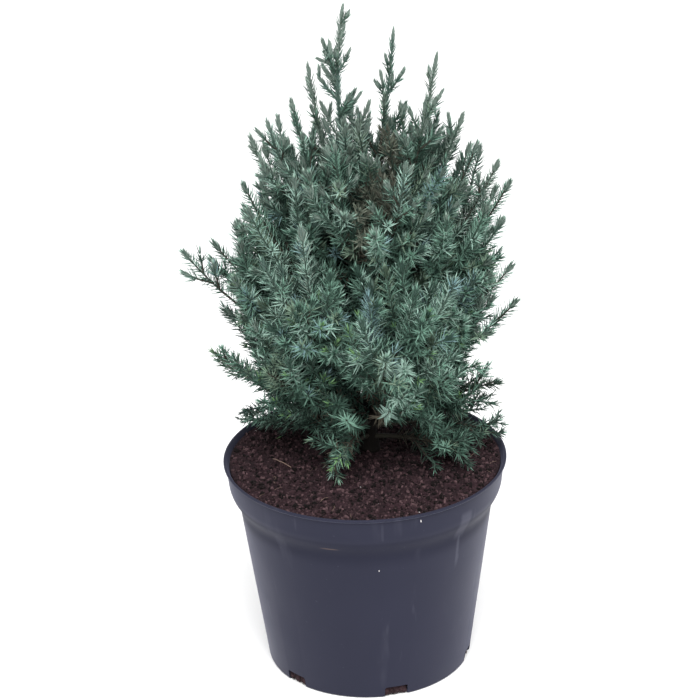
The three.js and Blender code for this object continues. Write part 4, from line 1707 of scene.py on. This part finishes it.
def shoot_lines(name, shoots, bare_too):
    """Shoots as edges, with what the trees read at each point of them."""
    points = []
    edges = []
    rows = {}
    draw = seeded(PHASE_SEED)
    for shoot in shoots:
        length = shoot.curve.length()
        first = 0.0 if bare_too else shoot.bare
        last = 1.0 if shoot.beyond else max(1 - LINE_ENDS_BELOW_TIP / length, 0.5)
        count = max(3, int(round(length / POINTS_APART)))
        shares = np.linspace(first, last, count + 1)
        start = len(points)
        points.extend(shoot.curve.at(shares) * MM)
        edges.extend((start + k, start + k + 1) for k in range(count))
        values = {
            "needle_size": shoot.size,
            "to_tip": ((last - shares) * length + shoot.beyond) * MM,
            "wood_radius": mix(shoot.foot_radius, shoot.tip_radius, shares) * MM,
            "phase": draw() * 2 * math.pi,
            "spacing": shoot.whorl_spacing() * MM,
            "closing": shoot.closing() * MM,
            "spread": math.radians(shoot.spread()),
            "tip_spread": math.radians(shoot.tip_spread()),
            "tip_size": shoot.tip_size(),
            "needle_width": shoot.width(),
        }
        for label, value in values.items():
            rows.setdefault(label, []).extend(np.broadcast_to(value, count + 1))
    mesh = bpy.data.meshes.new(name)
    mesh.from_pydata([tuple(map(float, p)) for p in points], edges, [])
    for label, values in rows.items():
        mesh.attributes.new(label, "FLOAT", "POINT").data.foreach_set("value", values)
    return mesh


class JUNIPER_OT_stage(Operator):
    """Set the pale floor, the soft light and the camera"""

    bl_idname = "juniper.stage"
    bl_label = "Stage"

    def execute(self, context):
        stage = context.scene.juniper_stage
        half = stage.floor_size / 2
        corners = [(-half, -half, 0), (half, -half, 0), (half, half, 0), (-half, half, 0)]
        floor = add_object("floor", mesh_from("floor", corners, [(0, 1, 2, 3)]))
        floor.data.materials.append(plain_finish("pale_floor", stage.floor_colour, 0.9, 0.2))
        world = bpy.data.worlds.new("soft_room")
        world.use_nodes = True
        sky = world.node_tree.nodes["Background"]
        sky.inputs["Color"].default_value = (1.0, 1.0, 1.0, 1.0)
        sky.inputs["Strength"].default_value = stage.room_light
        context.scene.world = world
        self.light("key", (-0.3, -2.4, 3.6), 2.6, stage.key_power)
        self.light("fill", (2.0, -1.4, 2.9), 2.2, stage.key_power * 0.3)
        self.camera(context.scene, stage)
        context.scene.view_settings.view_transform = "Standard"
        context.scene.view_settings.look = "None"
        return {"FINISHED"}

    def light(self, name, place, size, power):
        lamp = bpy.data.lights.new(name, "AREA")
        lamp.shape = "DISK"
        lamp.size = size
        lamp.energy = power
        made = add_object(name, lamp)
        made.location = place
        aim = Vector((0.0, 0.0, 0.22)) - Vector(place)
        made.rotation_euler = aim.to_track_quat("-Z", "Y").to_euler()

    def camera(self, scene, stage):
        lens = bpy.data.cameras.new("camera")
        lens.lens = stage.lens
        lens.sensor_width = 36.0
        lens.clip_start = 0.05
        lens.clip_end = 50.0
        made = add_object("camera", lens)
        sine = math.sin(stage.elevation)
        cosine = math.cos(stage.elevation)
        back = Vector((0.0, -cosine, sine))
        level = Vector((1.0, 0.0, 0.0))
        upward = Vector((0.0, sine, cosine))
        right = level * math.cos(stage.roll) + upward * math.sin(stage.roll)
        top = upward * math.cos(stage.roll) - level * math.sin(stage.roll)
        place = Vector((stage.target_x, 0.0, stage.target_z)) + back * stage.distance
        turn = Matrix((right, top, back)).transposed().to_4x4()
        made.matrix_world = Matrix.Translation(place) @ turn
        scene.camera = made


class JUNIPER_PT_sidebar(Panel):
    """Lists the steps that build the juniper"""

    bl_idname = "JUNIPER_PT_sidebar"
    bl_label = "Potted Juniper"
    bl_space_type = "VIEW_3D"
    bl_region_type = "UI"
    bl_category = "Juniper"

    def draw(self, context):
        for step in STEPS:
            self.layout.operator(step.bl_idname)


STEPS = (
    JUNIPER_OT_pot,
    JUNIPER_OT_soil,
    JUNIPER_OT_wood,
    JUNIPER_OT_twigs,
    JUNIPER_OT_needles,
    JUNIPER_OT_stage,
)
SETTINGS = {
    "juniper_pot": PotSettings,
    "juniper_soil": SoilSettings,
    "juniper_wood": WoodSettings,
    "juniper_needles": NeedleSettings,
    "juniper_stage": StageSettings,
}


def register():
    for group in SETTINGS.values():
        bpy.utils.register_class(group)
    for step in STEPS:
        bpy.utils.register_class(step)
    bpy.utils.register_class(JUNIPER_PT_sidebar)
    for name, group in SETTINGS.items():
        setattr(bpy.types.Scene, name, PointerProperty(type=group))


def unregister():
    for name in SETTINGS:
        delattr(bpy.types.Scene, name)
    bpy.utils.unregister_class(JUNIPER_PT_sidebar)
    for step in STEPS:
        bpy.utils.unregister_class(step)
    for group in SETTINGS.values():
        bpy.utils.unregister_class(group)


def main():
    register()
    bpy.ops.juniper.pot()
    bpy.ops.juniper.soil()
    bpy.ops.juniper.wood()
    bpy.ops.juniper.twigs()
    bpy.ops.juniper.needles()
    bpy.ops.juniper.stage()


if __name__ == "__main__":
    main()
